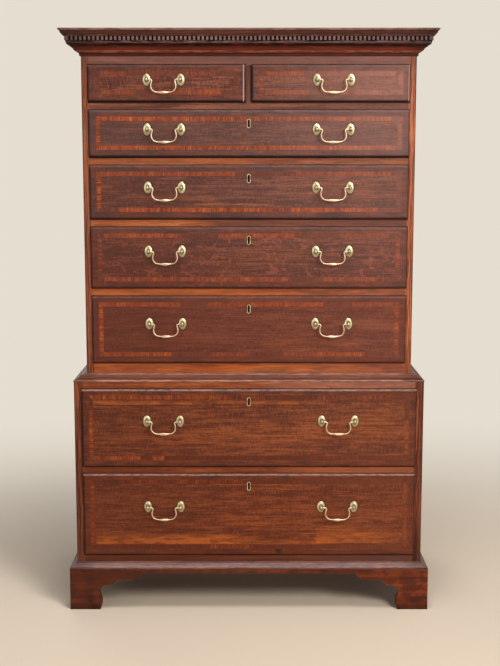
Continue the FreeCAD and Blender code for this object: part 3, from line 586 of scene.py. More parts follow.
def division(wood, seed, dark, middle):
    """Upright grain between the two short drawers, with a painted shadow line down its right-hand part."""
    low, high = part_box("drawer_1_left_box")
    top = high.z + DIVISION_RISE
    here = wood.fall(abs(wood.x), DIVISION_HALF, DIVISION_HALF + MM) * wood.step(wood.z, low.z, low.z + MM)
    here = here * wood.fall(wood.z, top, top + MM)
    upward, _, _ = grain(wood, "Z", seed)
    wood.lay(here, wood.ramp(upward, [(0.35, dark), (0.6, middle)]))
    # painted shadow beside the right-hand short drawer
    wood.lay(here * wood.step(wood.x, 2.5 * MM, 4.5 * MM) * 0.8, BLACK_WAX_AND_SHADE)


def rail_finish(case, seed, high_tones, low_tones, levels, runs):
    """Level grain whose tones change from high on the case to low, with runs of other tints."""
    wood = oak(case + "_rail_oak", "X", seed, high_tones, 0.15)
    wood.lay(wood.fall(wood.z, *levels), wood.toned(wood.tone, low_tones))
    blotch = wood.noise((0.09, 0.05, 0.012), seed + 8, 3)
    wood.lay(wood.fall(blotch, 0.38, 0.54) * 0.45, high_tones[0])
    wood.lay(wood.step(wood.x, -0.1, 0.5) * 0.35, GREY_PLUM)
    wood.lay(wood.step(wood.z, 1.62, 1.68) * 0.4, DUSTY_FRIEZE)
    for drawer, left, right, tint, strength in runs:
        wood.lay(run_along(wood, drawer, left, right) * (blotch * 0.8 + 0.6) * strength, tint)
    if case == "upper":
        division(wood, seed + 5, *high_tones[:2])
    # painted shade and dirt round each drawer's lip
    wood.lay(lip_shade_and_dirt(wood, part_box(case + "_side_left")[0].y), BLACK_WAX_AND_SHADE)
    return wax(wood)


upper_rail_oak = rail_finish(
    "upper",
    12,
    tones((74, 42, 34), (116, 69, 54), (160, 100, 77)),
    tones((114, 48, 25), (168, 82, 40), (212, 124, 60)),
    (0.9, 1.64),
    [
        ("drawer_2", -0.13, 0.12, DULL_RAIL, 0.25),
        ("drawer_3", -0.6, 0.02, BRIGHT_RAIL, 0.3),
        ("drawer_3", 0.02, 0.6, BRIGHT_RAIL, 0.1),
        ("drawer_4", -0.6, -0.12, BRIGHT_RAIL, 0.16),
        ("drawer_4", -0.1, 0.6, DULL_RAIL, 0.55),
        ("drawer_5", -0.6, 0.0, BRIGHT_RAIL, 0.36),
        ("drawer_5", 0.05, 0.6, DULL_RAIL, 0.12),
        ("drawer_6", -0.6, -0.2, BRIGHT_RAIL, 0.2),
    ],
)
lower_rail_oak = rail_finish(
    "lower",
    15,
    tones((96, 42, 24), (144, 70, 38), (188, 102, 50)),
    tones((60, 28, 19), (88, 43, 28), (118, 62, 39)),
    (0.13, 0.3),
    [
        ("drawer_6", 0.05, 0.6, PALE_RAIL, 0.16),
        ("drawer_6", -0.45, 0.0, DARK_RAIL, 0.1),
        ("drawer_7", -0.6, -0.25, DARK_RAIL, 0.4),
        ("drawer_7", 0.1, 0.6, BRIGHT_RAIL, 0.26),
    ],
)
paint(upper_rail_oak, "upper_rails")
paint(lower_rail_oak, "lower_rails")

# %% [markdown]
# Mouldings are read by their lines. The edges that stand out are pale, partly rubbed and partly a painted
# highlight; the quirks and hollows between them are black, partly wax and partly painted shade; and what
# faces up has a grey bloom with a painted highlight on it. The lines are given in millimetres above the
# moulding's foot, as they would be on a drawing of its section. The bloom and its highlight follow the
# surface's own direction.

# %% Mouldings
LINE_FADE = 0.8 * MM
# a grey bloom with a painted highlight, on what faces up
BLOOM_AND_HIGHLIGHT = srgb(158, 142, 144)
# BLACK and PALE draw the lines of painted shade and painted highlight, partly wax and rubbed edges too
BLACK = srgb(24, 8, 4)
PALE = srgb(206, 166, 152)


def moulding_finish(name, node, seed, wood_tones, bloom_and_highlight, lines, hollow):
    """Level grain, bloom with a painted highlight, and lines of painted highlight and shade, each from a foot
    to a top with a tint and a strength. What lies further in than `hollow` from the front and the ends of
    the node is painted black as shade, and its ends are painted darker as shade."""
    wood = oak(name, "X", seed, wood_tones, 0.05)
    low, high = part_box(node)
    normal = wood.node("ShaderNodeTexCoord", out="Normal")
    up = wood.node("ShaderNodeSeparateXYZ", sockets={0: normal}, out=2)
    spots = wood.noise((0.03, 0.02, 0.01), seed + 5, 3)
    wood.lay(wood.step(up, 0.25, 0.9) * (spots * 0.9 + 0.05) * bloom_and_highlight, BLOOM_AND_HIGHLIGHT)
    rubbed = wood.step(wood.noise((0.03, 0.03, 0.004), seed + 6, 3), 0.3, 0.7)
    for foot, top, tint, strength in lines:
        inside = wood.between(wood.z, low.z + foot * MM, low.z + top * MM, LINE_FADE)
        wood.lay(inside * (rubbed * 1.2 + 0.4) * strength, tint)
    if hollow:
        inward = (wood.y - low.y).least(high.x - abs(wood.x))
        wood.lay(wood.step(inward, hollow - MM, hollow + MM), BLACK_WAX_AND_SHADE)
    # painted shade at the ends
    wood.lay(wood.step(abs(wood.x), high.x - 0.10, high.x - 0.02) * 0.45, BLACK_WAX_AND_SHADE)
    return wax(wood, 0.4, 0.0)


MOULDINGS = {
    "cornice_crown_moulding": (
        "crown_oak",
        21,
        tones((52, 26, 21), (82, 42, 34), (110, 60, 48)),
        0.5,
        [(10.9, 17.5, PALE, 0.24), (7.4, 10.6, BLACK, 0.35)],
        None,
    ),
    "cornice_dentils": (
        "dentil_oak",
        24,
        tones((96, 70, 68), (138, 104, 99), (176, 142, 134)),
        0.2,
        [(0, 2.2, srgb(84, 56, 50), 0.7), (2.2, 7, BLACK, 0.75), (18.6, 22.9, srgb(72, 42, 33), 0.75)],
        8.5 * MM,
    ),
    "cornice_bed_moulding": (
        "bed_oak",
        27,
        tones((58, 21, 12), (92, 35, 20), (130, 56, 34)),
        0.1,
        [
            (-1, 8.3, srgb(60, 28, 22), 0.6),
            (9, 15, srgb(190, 112, 92), 0.45),
            (15, 21, srgb(138, 62, 42), 0.2),
            (24, 29, BLACK, 0.35),
            (27.5, 36, BLACK, 0.92),
        ],
        None,
    ),
    "waist_moulding": (
        "waist_oak",
        33,
        tones((66, 33, 22), (112, 60, 40), (152, 88, 60)),
        0.05,
        [(0.4, 6.6, PALE, 0.34), (6.8, 8.8, BLACK, 0.35), (18.4, 23, PALE, 0.3)],
        None,
    ),
    "plinth_moulding": (
        "plinth_oak",
        36,
        tones((68, 35, 27), (110, 62, 47), (150, 94, 72)),
        0.9,
        [
            (-1, 1.8, PALE, 0.3),
            (2.0, 4.4, BLACK, 0.55),
            (4.6, 7.4, srgb(190, 160, 154), 0.45),
            (16, 20, BLACK, 0.2),
        ],
        None,
    ),
}
for node, (name, seed, wood_tones, bloom_and_highlight, lines, hollow) in MOULDINGS.items():
    paint(moulding_finish(name, node, seed, wood_tones, bloom_and_highlight, lines, hollow), node)

# %% [markdown]
# The feet take the knocks. They are dull and blotched, painted darker towards the left as shade, and
# nearly black at the floor. The height at which they turn black is moved up and down by the same noise
# that makes the blotches, so that the edge of the dark isn't ruled.

# %% Feet
SCUFFED = srgb(60, 27, 18)
LEFT_FOOT_SHADE = srgb(62, 29, 18)


def foot_finish():
    wood = oak("foot_oak", "X", 39, tones((70, 27, 14), (116, 50, 25), (156, 74, 34)), 0.1)
    blotch = wood.noise((0.04, 0.04, 0.03), 44, 3)
    wood.lay(wood.fall(blotch, 0.38, 0.56) * 0.6, SCUFFED)
    # painted shade: darker towards the left
    wood.lay(wood.fall(wood.x, -0.5, 0.4) * 0.5, LEFT_FOOT_SHADE)
    wood.lay(wood.fall(wood.z + (blotch - 0.5) * 0.08, 0.0, 0.05) * 0.6, BLACK_WAX_AND_SHADE)
    return wax(wood)


paint(foot_finish(), "plinth_front_board", "plinth_side_boards")

# %% [markdown]
# What nobody sees or waxes gets the bare finishes: upright grain on blocks and planks, level grain on
# tops and bottoms, and on the runners a grain that goes from front to back, as they do.

# %% Inside and behind
paint(LINING_UPRIGHT, "foot_blocks")
paint(UPPER_PLANKS, "upper_back_boards")
paint(LOWER_PLANKS, "lower_back_boards")
paint(LINING_DEEP, "lower_runners", "upper_runners")
paint(LINING_LEVEL, "lower_top_board", "lower_bottom_board", "upper_top_board", "upper_bottom_board")

# %% [markdown]
# ### Drawer fronts
#
# Each front is one board of oak with level grain, and no two boards match: one is plain and straight, the
# next full of curly ray flecks, the lowest has a streak of sapwood and a knot. What the fronts of one
# case share is its tones: the upper case has gone greyer, with a painted sheen on its right half that
# stands in for reflected light, and the lower one has stayed red. What sets one front apart is a handful
# of strengths, and places given as shares of its width and height.

# %% What the fronts of a case share
@dataclass(eq=False)
class Case:
    """The tones of one case's drawer fronts and their crossbanding."""

    board: list
    border: list  # two tones along the edges
    edge: tuple  # the painted highlight along the lip's upper edge
    crest: float  # how pale that line is
    rim: float  # how black the upper edge itself is, as painted shade
    shade: tuple
    # the tint of the painted sheen on the right, standing in for reflected light
    haze: tuple
    redder: tuple  # below the first height fully redder, above the second not at all, and how much
    dull_band: list
    bright_band: list


UPPER = Case(
    board=tones((68, 38, 32), (106, 58, 46), (150, 87, 65)),
    border=tones((70, 46, 44), (100, 52, 40)),
    edge=srgb(150, 122, 116),
    crest=0.3,
    rim=0.6,
    shade=srgb(72, 41, 34),
    haze=srgb(164, 118, 106),
    redder=(0.9, 1.2, 0.28),
    dull_band=tones((78, 43, 36), (118, 65, 50)),
    bright_band=tones((104, 42, 23), (154, 70, 36), (208, 112, 58)),
)
LOWER = Case(
    board=tones((68, 30, 19), (108, 50, 29), (158, 83, 44)),
    border=tones((62, 36, 32), (96, 44, 27)),
    edge=srgb(190, 156, 146),
    crest=0.7,
    rim=0.3,
    shade=srgb(78, 40, 28),
    haze=srgb(150, 92, 66),
    redder=(0.2, 0.65, 0.2),
    dull_band=tones((64, 29, 18), (110, 50, 29)),
    bright_band=tones((98, 38, 18), (146, 66, 31), (196, 102, 48)),
)
print("redder below, in metres:", UPPER.redder[0], LOWER.redder[0])


# %% How each front looks
@dataclass
class Look:
    """What sets one drawer's front apart. Places are shares of the board, from its left and its foot."""

    case: Case
    bands: dict  # the crossbanding's brighter stretches: leg: [(start, end, glow), ...]
    patches: list  # (left, right, foot, top, strength)
    haze: float  # how strong the painted sheen on the right part is, standing in for reflected light
    flecks: float = 0.3
    shade: tuple = (0.0, 0.0)  # how dark the left part and the right part are
    grey: tuple = (0.0, 0.0)  # how grey they are
    figure: float = 1.0  # how strong the level figure is
    swirls: float = 0.0  # how strong the curling ray figure is
    streaks: tuple = ()  # pale sapwood: (left, right, foot, top, strength)
    knot: tuple | None = None  # its place
    side_highlight: tuple | None = None  # a painted upright highlight line: millimetres in from the right, and strength


LOOKS = {
    "drawer_1_left": Look(
        UPPER,
        {
            "top": [(0.05, 0.22, 0.4), (0.34, 0.52, 0.35), (0.62, 0.84, 0.3)],
            "foot": [(0.05, 0.3, 0.4), (0.45, 0.7, 0.5), (0.72, 0.9, 0.95)],
            "right": [(0.1, 0.5, 0.1)],
        },
        [(0.30, 0.62, 0.05, 0.35, 0.25)],
        haze=0.15,
        grey=(0.0, 0.05),
        side_highlight=(7.6, 0.8),
    ),
    "drawer_1_right": Look(
        UPPER,
        {
            "top": [(0.04, 0.3, 0.6), (0.4, 0.6, 0.3), (0.7, 0.95, 0.4)],
            "foot": [(0.03, 0.34, 0.55), (0.44, 0.62, 0.35), (0.7, 0.95, 0.4)],
            "left": [(0.05, 0.95, 0.4)],
            "right": [(0.0, 1.0, 0.6)],
        },
        [(0.35, 0.7, 0.1, 0.4, 0.2)],
        haze=0.5,
        grey=(0.1, 0.12),
        side_highlight=(4.2, 0.4),
    ),
    "drawer_2": Look(
        UPPER,
        {
            "top": [(0.0, 0.22, 0.9), (0.22, 0.45, 0.65), (0.45, 0.62, 0.4), (0.62, 0.97, 0.6)],
            "foot": [(0.0, 0.3, 0.7), (0.3, 0.52, 0.6), (0.52, 0.97, 0.75)],
            "left": [(0.0, 1.0, 0.6)],
            "right": [(0.0, 1.0, 0.25)],
        },
        [(0.2, 0.6, 0.2, 0.45, 0.2), (0.0, 0.3, 0.5, 0.8, 0.15)],
        haze=0.36,
        shade=(0.5, 0.0),
        grey=(0.22, 0.3),
    ),
    "drawer_3": Look(
        UPPER,
        {
            "top": [(0.0, 0.45, 0.5), (0.62, 0.75, 0.35), (0.75, 0.97, 0.55)],
            "foot": [(0.07, 0.62, 0.7), (0.65, 0.92, 0.85)],
            "left": [(0.02, 0.95, 0.75)],
            "right": [(0.2, 0.45, 0.1)],
        },
        [(0.28, 0.62, 0.24, 0.30, 0.7), (0.6, 0.97, 0.3, 0.8, 0.25), (0.0, 0.5, 0.32, 0.44, 0.25)],
        haze=0.14,
        flecks=0.2,
        shade=(0.42, 0.05),
        grey=(0.05, 0.2),
    ),
    "drawer_4": Look(
        UPPER,
        {
            "top": [(0.03, 0.27, 0.55), (0.4, 0.66, 0.6), (0.8, 0.95, 0.35)],
            "foot": [(0.02, 0.3, 0.45), (0.3, 0.62, 0.6), (0.76, 0.96, 0.6)],
            "left": [(0.3, 1.0, 0.2)],
            "right": [(0.3, 0.95, 0.4)],
        },
        [(0.3, 0.75, 0.25, 0.7, 0.3)],
        haze=0.08,
        flecks=1.0,
        shade=(0.5, 0.15),
        grey=(0.0, 0.14),
        swirls=0.62,
    ),
    "drawer_5": Look(
        UPPER,
        {
            "top": [(0.0, 0.26, 0.7), (0.36, 0.5, 0.5), (0.5, 0.75, 0.8), (0.84, 1.0, 0.6)],
            "foot": [(0.0, 0.25, 0.85), (0.38, 0.5, 0.35), (0.62, 0.74, 0.45), (0.74, 0.9, 0.8)],
            "left": [(0.0, 1.0, 0.9)],
            "right": [(0.05, 1.0, 0.75)],
        },
        [(0.05, 0.45, 0.2, 0.5, 0.2), (0.5, 0.9, 0.15, 0.4, 0.25)],
        haze=0.06,
        flecks=0.2,
        shade=(0.5, 0.05),
        grey=(0.0, 0.05),
        figure=0.6,
    ),
    "drawer_6": Look(
        LOWER,
        {
            "top": [(0.0, 0.4, 0.6), (0.4, 0.55, 0.2), (0.7, 0.95, 0.2)],
            "foot": [(0.0, 0.075, 0.45), (0.075, 0.15, 0.95), (0.195, 0.24, 0.85)],
            "left": [(0.0, 0.7, 0.65), (0.7, 1.0, 0.3)],
            "right": [(0.05, 0.65, 0.55)],
        },
        [(0.1, 0.9, 0.25, 0.5, 0.3), (0.6, 1.0, 0.4, 0.7, 0.25)],
        haze=0.12,
        flecks=0.25,
        shade=(0.3, 0.05),
        grey=(0.0, 0.05),
        streaks=((0.034, 0.42, 0.80, 0.83, 0.7), (0.4, 0.78, 0.80, 0.83, 0.45)),
    ),
    "drawer_7": Look(
        LOWER,
        {
            "top": [(0.12, 0.5, 0.25)],
            "foot": [(0.38, 0.5, 0.35)],
            "left": [(0.02, 1.0, 0.45)],
            "right": [(0.0, 1.0, 0.45)],
        },
        [(0.1, 0.8, 0.3, 0.5, 0.3), (0.3, 1.0, 0.84, 0.9, 0.35), (0.62, 0.95, 0.15, 0.38, 0.5)],
        haze=0.15,
        flecks=0.35,
        shade=(0.3, 0.0),
        streaks=(
            (0.034, 0.56, 0.137, 0.215, 0.95),
            (0.4, 0.85, 0.14, 0.17, 0.5),
            (0.7, 1.0, 0.15, 0.25, 0.6),
        ),
        knot=(0.59, 0.062),
    ),
}
print("looks:", ", ".join(LOOKS))

# %% [markdown]
# A board's figure is drawn before its wear. Quartered oak under old wax shows long blotches, fine level
# lines and short upright ticks, each from one stretched noise of its own. Where the saw has just grazed
# the rays they curl, and a curl is where a smooth noise crosses its middle value.

# %% The figure
CURL = srgb(168, 90, 68)


def figure(wood, look, seed):
    dark, _, light = look.case.board
    blotch = wood.noise((0.075, 0.03, 0.010), seed + 8, 4)
    wood.lay(wood.fall(blotch, 0.40, 0.52) * (0.5 * look.figure), dark)
    wood.lay(wood.step(blotch, 0.52, 0.64) * (0.42 * look.figure), light)
    lines = wood.noise((0.055, 0.03, 0.0024), seed + 12, 2)
    wood.lay(wood.fall(lines, 0.37, 0.48) * (0.5 * look.figure), dark)
    wood.lay(wood.step(lines, 0.54, 0.66) * (0.3 * look.figure), light)
    if look.swirls:
        crossing = abs(wood.noise((0.07, 0.05, 0.055), seed + 61, 0) - 0.5)
        where = wood.step(wood.noise((0.03, 0.03, 0.02), seed + 63, 1), 0.42, 0.58)
        wood.lay(wood.fall(crossing, 0.008, 0.042) * where * look.swirls, CURL)
    ticks = wood.noise((0.0028, 0.01, 0.013), seed + 9, 2)
    wood.lay(wood.step(ticks, 0.54, 0.63) * 0.36, light)
    wood.lay(wood.fall(ticks, 0.37, 0.46) * 0.4, dark)


# %% Patches, streaks and knots
AMBER = srgb(202, 106, 42)
UNDER_STREAK = srgb(58, 20, 10)
KNOT = srgb(38, 32, 24)
KNOT_REACH = 14 * MM


def oval(across, up, half_width, half_height):
    """0 in the middle of an oval, 1 on its outline and more outside, from the distances to its middle."""
    across, up = across / half_width, up / half_height
    return across * across + up * up


def patch(wood, drawer, left, right, foot, top):
    """1 in the middle of a soft oval on the front, 0 outside it."""
    size = drawer.size
    across = wood.x - (drawer.low.x + size.x * (left + right) / 2)
    up = wood.z - (drawer.low.z + size.z * (foot + top) / 2)
    return wood.fall(oval(across, up, size.x * (right - left) / 2, size.z * (top - foot) / 2), 0.25, 1.1)


def pale_streak(wood, drawer, left, right, foot, top, strength):
    """Sapwood: a pale streak, patchy and soft at its top, that ends sharply at its foot over a dark line."""
    tall = top - foot
    across, up = drawer.shares(wood)
    up = up + (wood.noise((0.12, 0.05, 0.01), 77, 2) - 0.5) * 0.02
    patchy = wood.noise((0.035, 0.03, 0.008), 79, 4)
    reach = wood.step(across, left, left + 0.008) * wood.fall(across, right - 0.15, right) * strength
    pale = wood.step(up, foot - 0.004, foot + 0.006) * wood.fall(up, top - tall * 0.3, top + tall)
    under = wood.step(up, foot - tall * 0.7, foot - tall * 0.5) * wood.fall(up, foot - 0.012, foot - 0.002)
    wood.lay(under * reach * 0.6, UNDER_STREAK)
    wood.lay(pale * reach * (wood.step(patchy, 0.38, 0.6) * 0.65 + 0.3), AMBER)


def knotted(wood, drawer, across, up):
    """A small black knot with a ragged edge."""
    across = wood.x - (drawer.low.x + drawer.size.x * across)
    up = wood.z - (drawer.low.z + drawer.size.z * up)
    ragged = oval(across, up, KNOT_REACH, KNOT_REACH) + wood.noise(0.006, 83, 2)
    wood.lay(wood.fall(ragged, 0.7, 1.5) * 0.85, KNOT)


# %% [markdown]
# Then the wear and the painted light, in the order in which they are laid: the border along the lip has
# gone dark and bluish, the right half gets a painted sheen that stands in for reflected light, the high
# drawers are greyer and the low ones redder, painted shade darkens the rim of the lip, a painted
# highlight runs just below its upper edge, and the wood round the roses is darker.

# %% Wear on a front
POST_SPACING = 102 * MM
ROSE_WIDTH = 24 * MM
ROSE_HEIGHT = 36 * MM
KEYHOLE_HALF = 7 * MM
RED_WAX = srgb(112, 44, 16)
GREY_WAX = srgb(96, 82, 80)
DARK_ROUND_ROSES = srgb(52, 36, 18)
SIDE_HIGHLIGHT = srgb(196, 172, 162)


def by_height(wood, case):
    """Low on a case, where little daylight comes, the wood has stayed redder."""
    low, high, strength = case.redder
    wood.lay(wood.fall(wood.z, low, high) * strength, RED_WAX)


def sheen_reach(wood):
    """How strong the painted sheen is: from nothing left of the middle to 1 at the right-hand side."""
    return wood.step(wood.x, -0.05, 0.42)


def left_to_right(wood, left, right):
    """A strength that goes from one value at the left of the chest to another right of its middle."""
    return wood.step(wood.x, -0.4, 0.15) * (right - left) + left


def border(wood, drawer, case, seed):
    """The darker border along the lip, ragged inwards, in two tones that change along it."""
    across = drawer.half.x - abs(wood.x - drawer.middle.x)
    edge = across.least(drawer.half.z - abs(wood.z - drawer.middle.z))
    ragged = edge + (wood.noise((0.05, 0.05, 0.02), seed + 4, 3) - 0.5) * 0.03
    tint = wood.mix(wood.step(wood.noise((0.10, 0.05, 0.03), seed + 5, 2), 0.42, 0.58), *case.border)
    depth = wood.step(wood.noise((0.06, 0.05, 0.03), seed + 7, 2), 0.35, 0.65) * 0.35 + 0.4
    wood.lay(wood.fall(ragged, 0.010, 0.030) * depth, tint)


def lip_shade_and_highlight(wood, drawer, look, seed):
    """Painted shade round the rim of the lip, strongest on high drawers, and a painted highlight below its
    upper edge.
    """
    case = look.case
    top, right = drawer.high.z - wood.z, drawer.high.x - wood.x
    height_share = min(1.0, max(0.0, (drawer.low.z - 1.0) / 0.4))
    rims = [
        (wood.x - drawer.low.x, 6.5, 0.75),
        (right, 5.0, 0.45),
        (wood.z - drawer.low.z, 6.0, 0.35 + 0.45 * height_share),
        (top, 3.6, case.rim),
    ]
    for inward, reach, strength in rims:
        wood.lay(wood.fall(inward, reach * 0.45 * MM, reach * MM) * strength, BLACK_WAX_AND_SHADE)
    highlight_patches = wood.noise((0.018, 0.01, 0.004), seed + 6, 3)
    crest = wood.step(top, 2 * MM, 4 * MM) * wood.fall(top, 6 * MM, 9.5 * MM) * case.crest
    # painted highlight just below the lip's upper edge
    wood.lay(crest * (wood.step(highlight_patches, 0.3, 0.6) * 0.7 + 0.3), case.edge)
    if look.side_highlight:
        inward, strength = look.side_highlight
        wood.lay(wood.fall(abs(right - inward * MM), 0.8 * MM, 1.9 * MM) * strength, SIDE_HIGHLIGHT)


def round_roses(wood, drawer):
    """1 close to the roses, 0 further out."""
    outward = [
        oval(abs(wood.x - place.x) - POST_SPACING / 2, wood.z - place.z, ROSE_WIDTH / 2, ROSE_HEIGHT / 2)
        for _, place in drawer.handles
    ]
    return wood.fall(reduce(Socket.least, outward), 1.0, 1.75)


def keyhole(wood, drawer):
    """1 inside the keyhole, behind the face of the board."""
    across = wood.fall(abs(wood.x - drawer.middle.x), KEYHOLE_HALF, KEYHOLE_HALF + MM)
    return across * wood.step(wood.y, drawer.face + 2 * MM, drawer.face + 3 * MM)


# %% The finish of a front
FIRST_SEED = 50
SEED_STEP = 7  # so that no two fronts are alike


def front_finish(drawer, look, seed):
    case = look.case
    wood = oak(drawer.name + "_oak", "X", seed, case.board, look.flecks)
    streaky = wood.step(wood.noise(along("X", 0.16, 0.006), seed + 2, 2), 0.38, 0.6)
    for *place, strength in look.patches:
        wood.lay(patch(wood, drawer, *place) * streaky * strength, AMBER)
    figure(wood, look, seed)
    for streak in look.streaks:
        pale_streak(wood, drawer, *streak)
    wood.lay(left_to_right(wood, *look.shade), case.shade)
    # painted sheen on the right, standing in for reflected light: part of it under the border, part over it
    wood.lay(sheen_reach(wood) * (look.haze * 0.6), case.haze)
    border(wood, drawer, case, seed)
    wood.lay(sheen_reach(wood) * (look.haze * 0.4), case.haze)
    wood.lay(left_to_right(wood, *look.grey), GREY_WAX)
    by_height(wood, case)
    if look.knot:
        knotted(wood, drawer, *look.knot)
    lip_shade_and_highlight(wood, drawer, look, seed)
    # darker round the roses
    wood.lay(round_roses(wood, drawer) * 0.6, DARK_ROUND_ROSES)
    # painted shade inside the keyhole
    wood.lay(keyhole(wood, drawer) * 0.95, BLACK_WAX_AND_SHADE)
    return wax(wood)


for number, drawer in enumerate(drawers):
    seed = FIRST_SEED + SEED_STEP * number
    paint(front_finish(drawer, LOOKS[drawer.name], seed), drawer.name + "_front")
    paint(LINING_DEEP, drawer.name + "_box")

# %% [markdown]
# ## Pieces that are modelled here
#
# Every piece that is modelled in this lesson ends the same way: its bmesh becomes an object at the
# origin, its flat faces stay crisp while its round ones are smoothed, and it is told which body it rides
# on. A finish can read numbers that lie on the mesh, so `mark` writes them on its vertices.

# %% Making a piece
def piece(name, shape, body, materials, stands_for=(), crisp=35):
    """Turns a bmesh into a finished object that moves with a body."""
    mesh = to_mesh(shape, name)
    for material in materials:
        mesh.materials.append(material)
    mesh.shade_smooth()
    mesh.set_sharp_from_angle(angle=math.radians(crisp))
    made = link(name, mesh)
    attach(made, body)
    if stands_for:
        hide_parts(*stands_for)
    print(name, "faces:", len(mesh.polygons))


def mark(shape, name, how):
    """Writes a number on every vertex of a bmesh: one for all, or what a function makes of each vertex."""
    layer = shape.verts.layers.float.get(name) or shape.verts.layers.float.new(name)
    for vert in shape.verts:
        vert[layer] = how(vert) if callable(how) else how


def add_mesh(shape, mesh, place):
    """Adds a mesh to a bmesh at a place."""
    known = set(shape.verts)
    shape.from_mesh(mesh)
    bmesh.ops.translate(shape, verts=[v for v in shape.verts if v not in known], vec=place)


def chamfer(shape, edges, width, clamp=False):
    """Cuts a flat of one width along some edges."""
    bmesh.ops.bevel(
        shape,
        geom=edges,
        offset=width,
        segments=1,
        affect="EDGES",
        profile=0.5,
        material=-1,
        clamp_overlap=clamp,
    )


# %% [markdown]
# ### Crossbanding
#
# Crossbanding is laid in short pieces with the grain across the band, cut from offcuts, so that their
# tones jump from one to the next. One long strip with a pattern on it would show no joints, so here each
# piece is a thin block of its own, cut to the mitre at the corners and hollowed where the keyhole's rim
# meets it. It stands a hair proud of the board, because old glue never lets it lie quite flat. Each piece
# carries two numbers for its finish: its tone, by chance, and its glow, from where on the band it lies.
# Its drawer's painted sheen comes along, and how far in from the band's outer edge each point lies.

# %% The sizes of the band
BAND_INSET = 20.5 * MM  # from the upper and lower edges of the lip
BAND_SIDE_INSET = 22.4 * MM
BAND_WIDTH = 14 * MM
BAND_SINK = 0.9 * MM  # how deep a piece reaches into the board
BAND_PROUD = (0.02, 0.1)  # millimetres: at least, and by chance
BAND_ARRIS = 0.12 * MM
JOINT = 0.16 * MM
PIECE_WIDTHS = (12, 30)  # millimetres
CORNER_PIECE = 19 * MM
LAST_ROOM = 36 * MM  # what is left for the last piece before a corner, at most
CORNER_GLOW = 0.75  # the upright legs' corner pieces have lost some of their colour
KEYHOLE_DROP = 41.5 * MM
KEYHOLE_SPREAD = 8.2 * MM
KEYHOLE_EDGE = 4.4 * MM  # from here inward the rim is painted as black as its hole, as shade
RIM_RADIUS = 5.8 * MM  # of the keyhole rim's upper end, with a joint's width
RIM_CENTRE = KEYHOLE_DROP - KEYHOLE_SPREAD - BAND_INSET  # in from the band's outer edge
NOTCH_CUTS = 31
LEVEL_LEG, UPRIGHT_LEG = 0, 1  # the two materials of a band
LUCK = random.Random(1765)


# %% Laying the band
def widths(length):
    """The joints of a band: short pieces of uneven width, with longer ones at the corners."""
    joints = [0.0, CORNER_PIECE]
    while joints[-1] < length - CORNER_PIECE - LAST_ROOM:
        joints.append(joints[-1] + LUCK.uniform(*PIECE_WIDTHS) * MM)
    joints += [length - CORNER_PIECE, length]
    return joints


def glow_at(stretches, share):
    """How bright the band is at a share of its length."""
    inside = [glow for start, end, glow in stretches if start <= share <= end]
    return (max(inside) if inside else 0.0) * LUCK.uniform(0.8, 1.0)


def lay_piece(start, end, length, notch):
    """One piece of a band, from start to end. Its axes: along the band, backward, and in from the edge."""
    shape = bmesh.new()
    proud = (BAND_PROUD[0] + BAND_PROUD[1] * LUCK.random()) * MM
    low = Vector((start + JOINT / 2, -proud, JOINT))
    high = Vector((end - JOINT / 2, BAND_SINK, BAND_WIDTH - JOINT))
    block = Matrix.Translation((low + high) / 2) @ Matrix.Diagonal((*(high - low), 1))
    bmesh.ops.create_cube(shape, size=1, matrix=block)
    if notch is not None and start < notch + RIM_RADIUS and end > notch - RIM_RADIUS:
        runs = [e for e in shape.edges if abs(e.verts[0].co.x - e.verts[1].co.x) > MM / 2]
        bmesh.ops.subdivide_edges(shape, edges=runs, cuts=NOTCH_CUTS, use_grid_fill=True)
    mark(shape, "across", lambda vert: vert.co.z / BAND_WIDTH)
    for vert in shape.verts:
        inward = vert.co.z
        vert.co.x = min(max(vert.co.x, inward + JOINT / 2), length - inward - JOINT / 2)
        if notch is not None and abs(vert.co.x - notch) < RIM_RADIUS:
            vert.co.z = min(inward, RIM_CENTRE - math.sqrt(RIM_RADIUS**2 - (vert.co.x - notch) ** 2))
    arrises = [e for e in shape.edges if all(v.co.y < 0 for v in e.verts) and e.calc_face_angle(0) > 0.1]
    chamfer(shape, arrises, BAND_ARRIS)
    return shape


def legs(drawer):
    """A band's four legs: length, the place of its outer corner, its two directions, its material."""
    inset = Vector((BAND_SIDE_INSET, 0, BAND_INSET))
    low, high = drawer.low + inset, drawer.high - inset
    face, wide, tall = drawer.face, high.x - low.x, high.z - low.z
    return {
        "top": (wide, (low.x, face, high.z), (1, 0, 0), (0, 0, -1), LEVEL_LEG),
        "foot": (wide, (low.x, face, low.z), (1, 0, 0), (0, 0, 1), LEVEL_LEG),
        "left": (tall, (low.x, face, low.z), (0, 0, 1), (1, 0, 0), UPRIGHT_LEG),
        "right": (tall, (high.x, face, low.z), (0, 0, 1), (-1, 0, 0), UPRIGHT_LEG),
    }


def lay_bands(drawer, look):
    """All four legs of a drawer's crossbanding as one bmesh."""
    shape = bmesh.new()
    for leg, (length, corner, ahead, inward, material) in legs(drawer).items():
        place = Matrix.Translation(corner) @ Matrix((ahead, (0, 1, 0), inward)).transposed().to_4x4()
        joints = widths(length)
        notch = length / 2 if leg == "top" and drawer.locked else None
        for start, end in zip(joints, joints[1:]):
            laid = lay_piece(start, end, length, notch)
            bmesh.ops.transform(laid, matrix=place, verts=laid.verts)
            mark(laid, "tone", LUCK.random())
            mark(laid, "haze", look.haze)
            glow = glow_at(look.bands.get(leg, ()), (start + end) / 2 / length)
            dimmed = material == UPRIGHT_LEG and (start == 0 or end == length)
            mark(laid, "glow", glow * (CORNER_GLOW if dimmed else 1))
            for face in laid.faces:
                face.material_index = material
            mesh = to_mesh(laid, "laid")
            shape.from_mesh(mesh)
            bpy.data.meshes.remove(mesh)
    bmesh.ops.recalc_face_normals(shape, faces=shape.faces)
    return shape


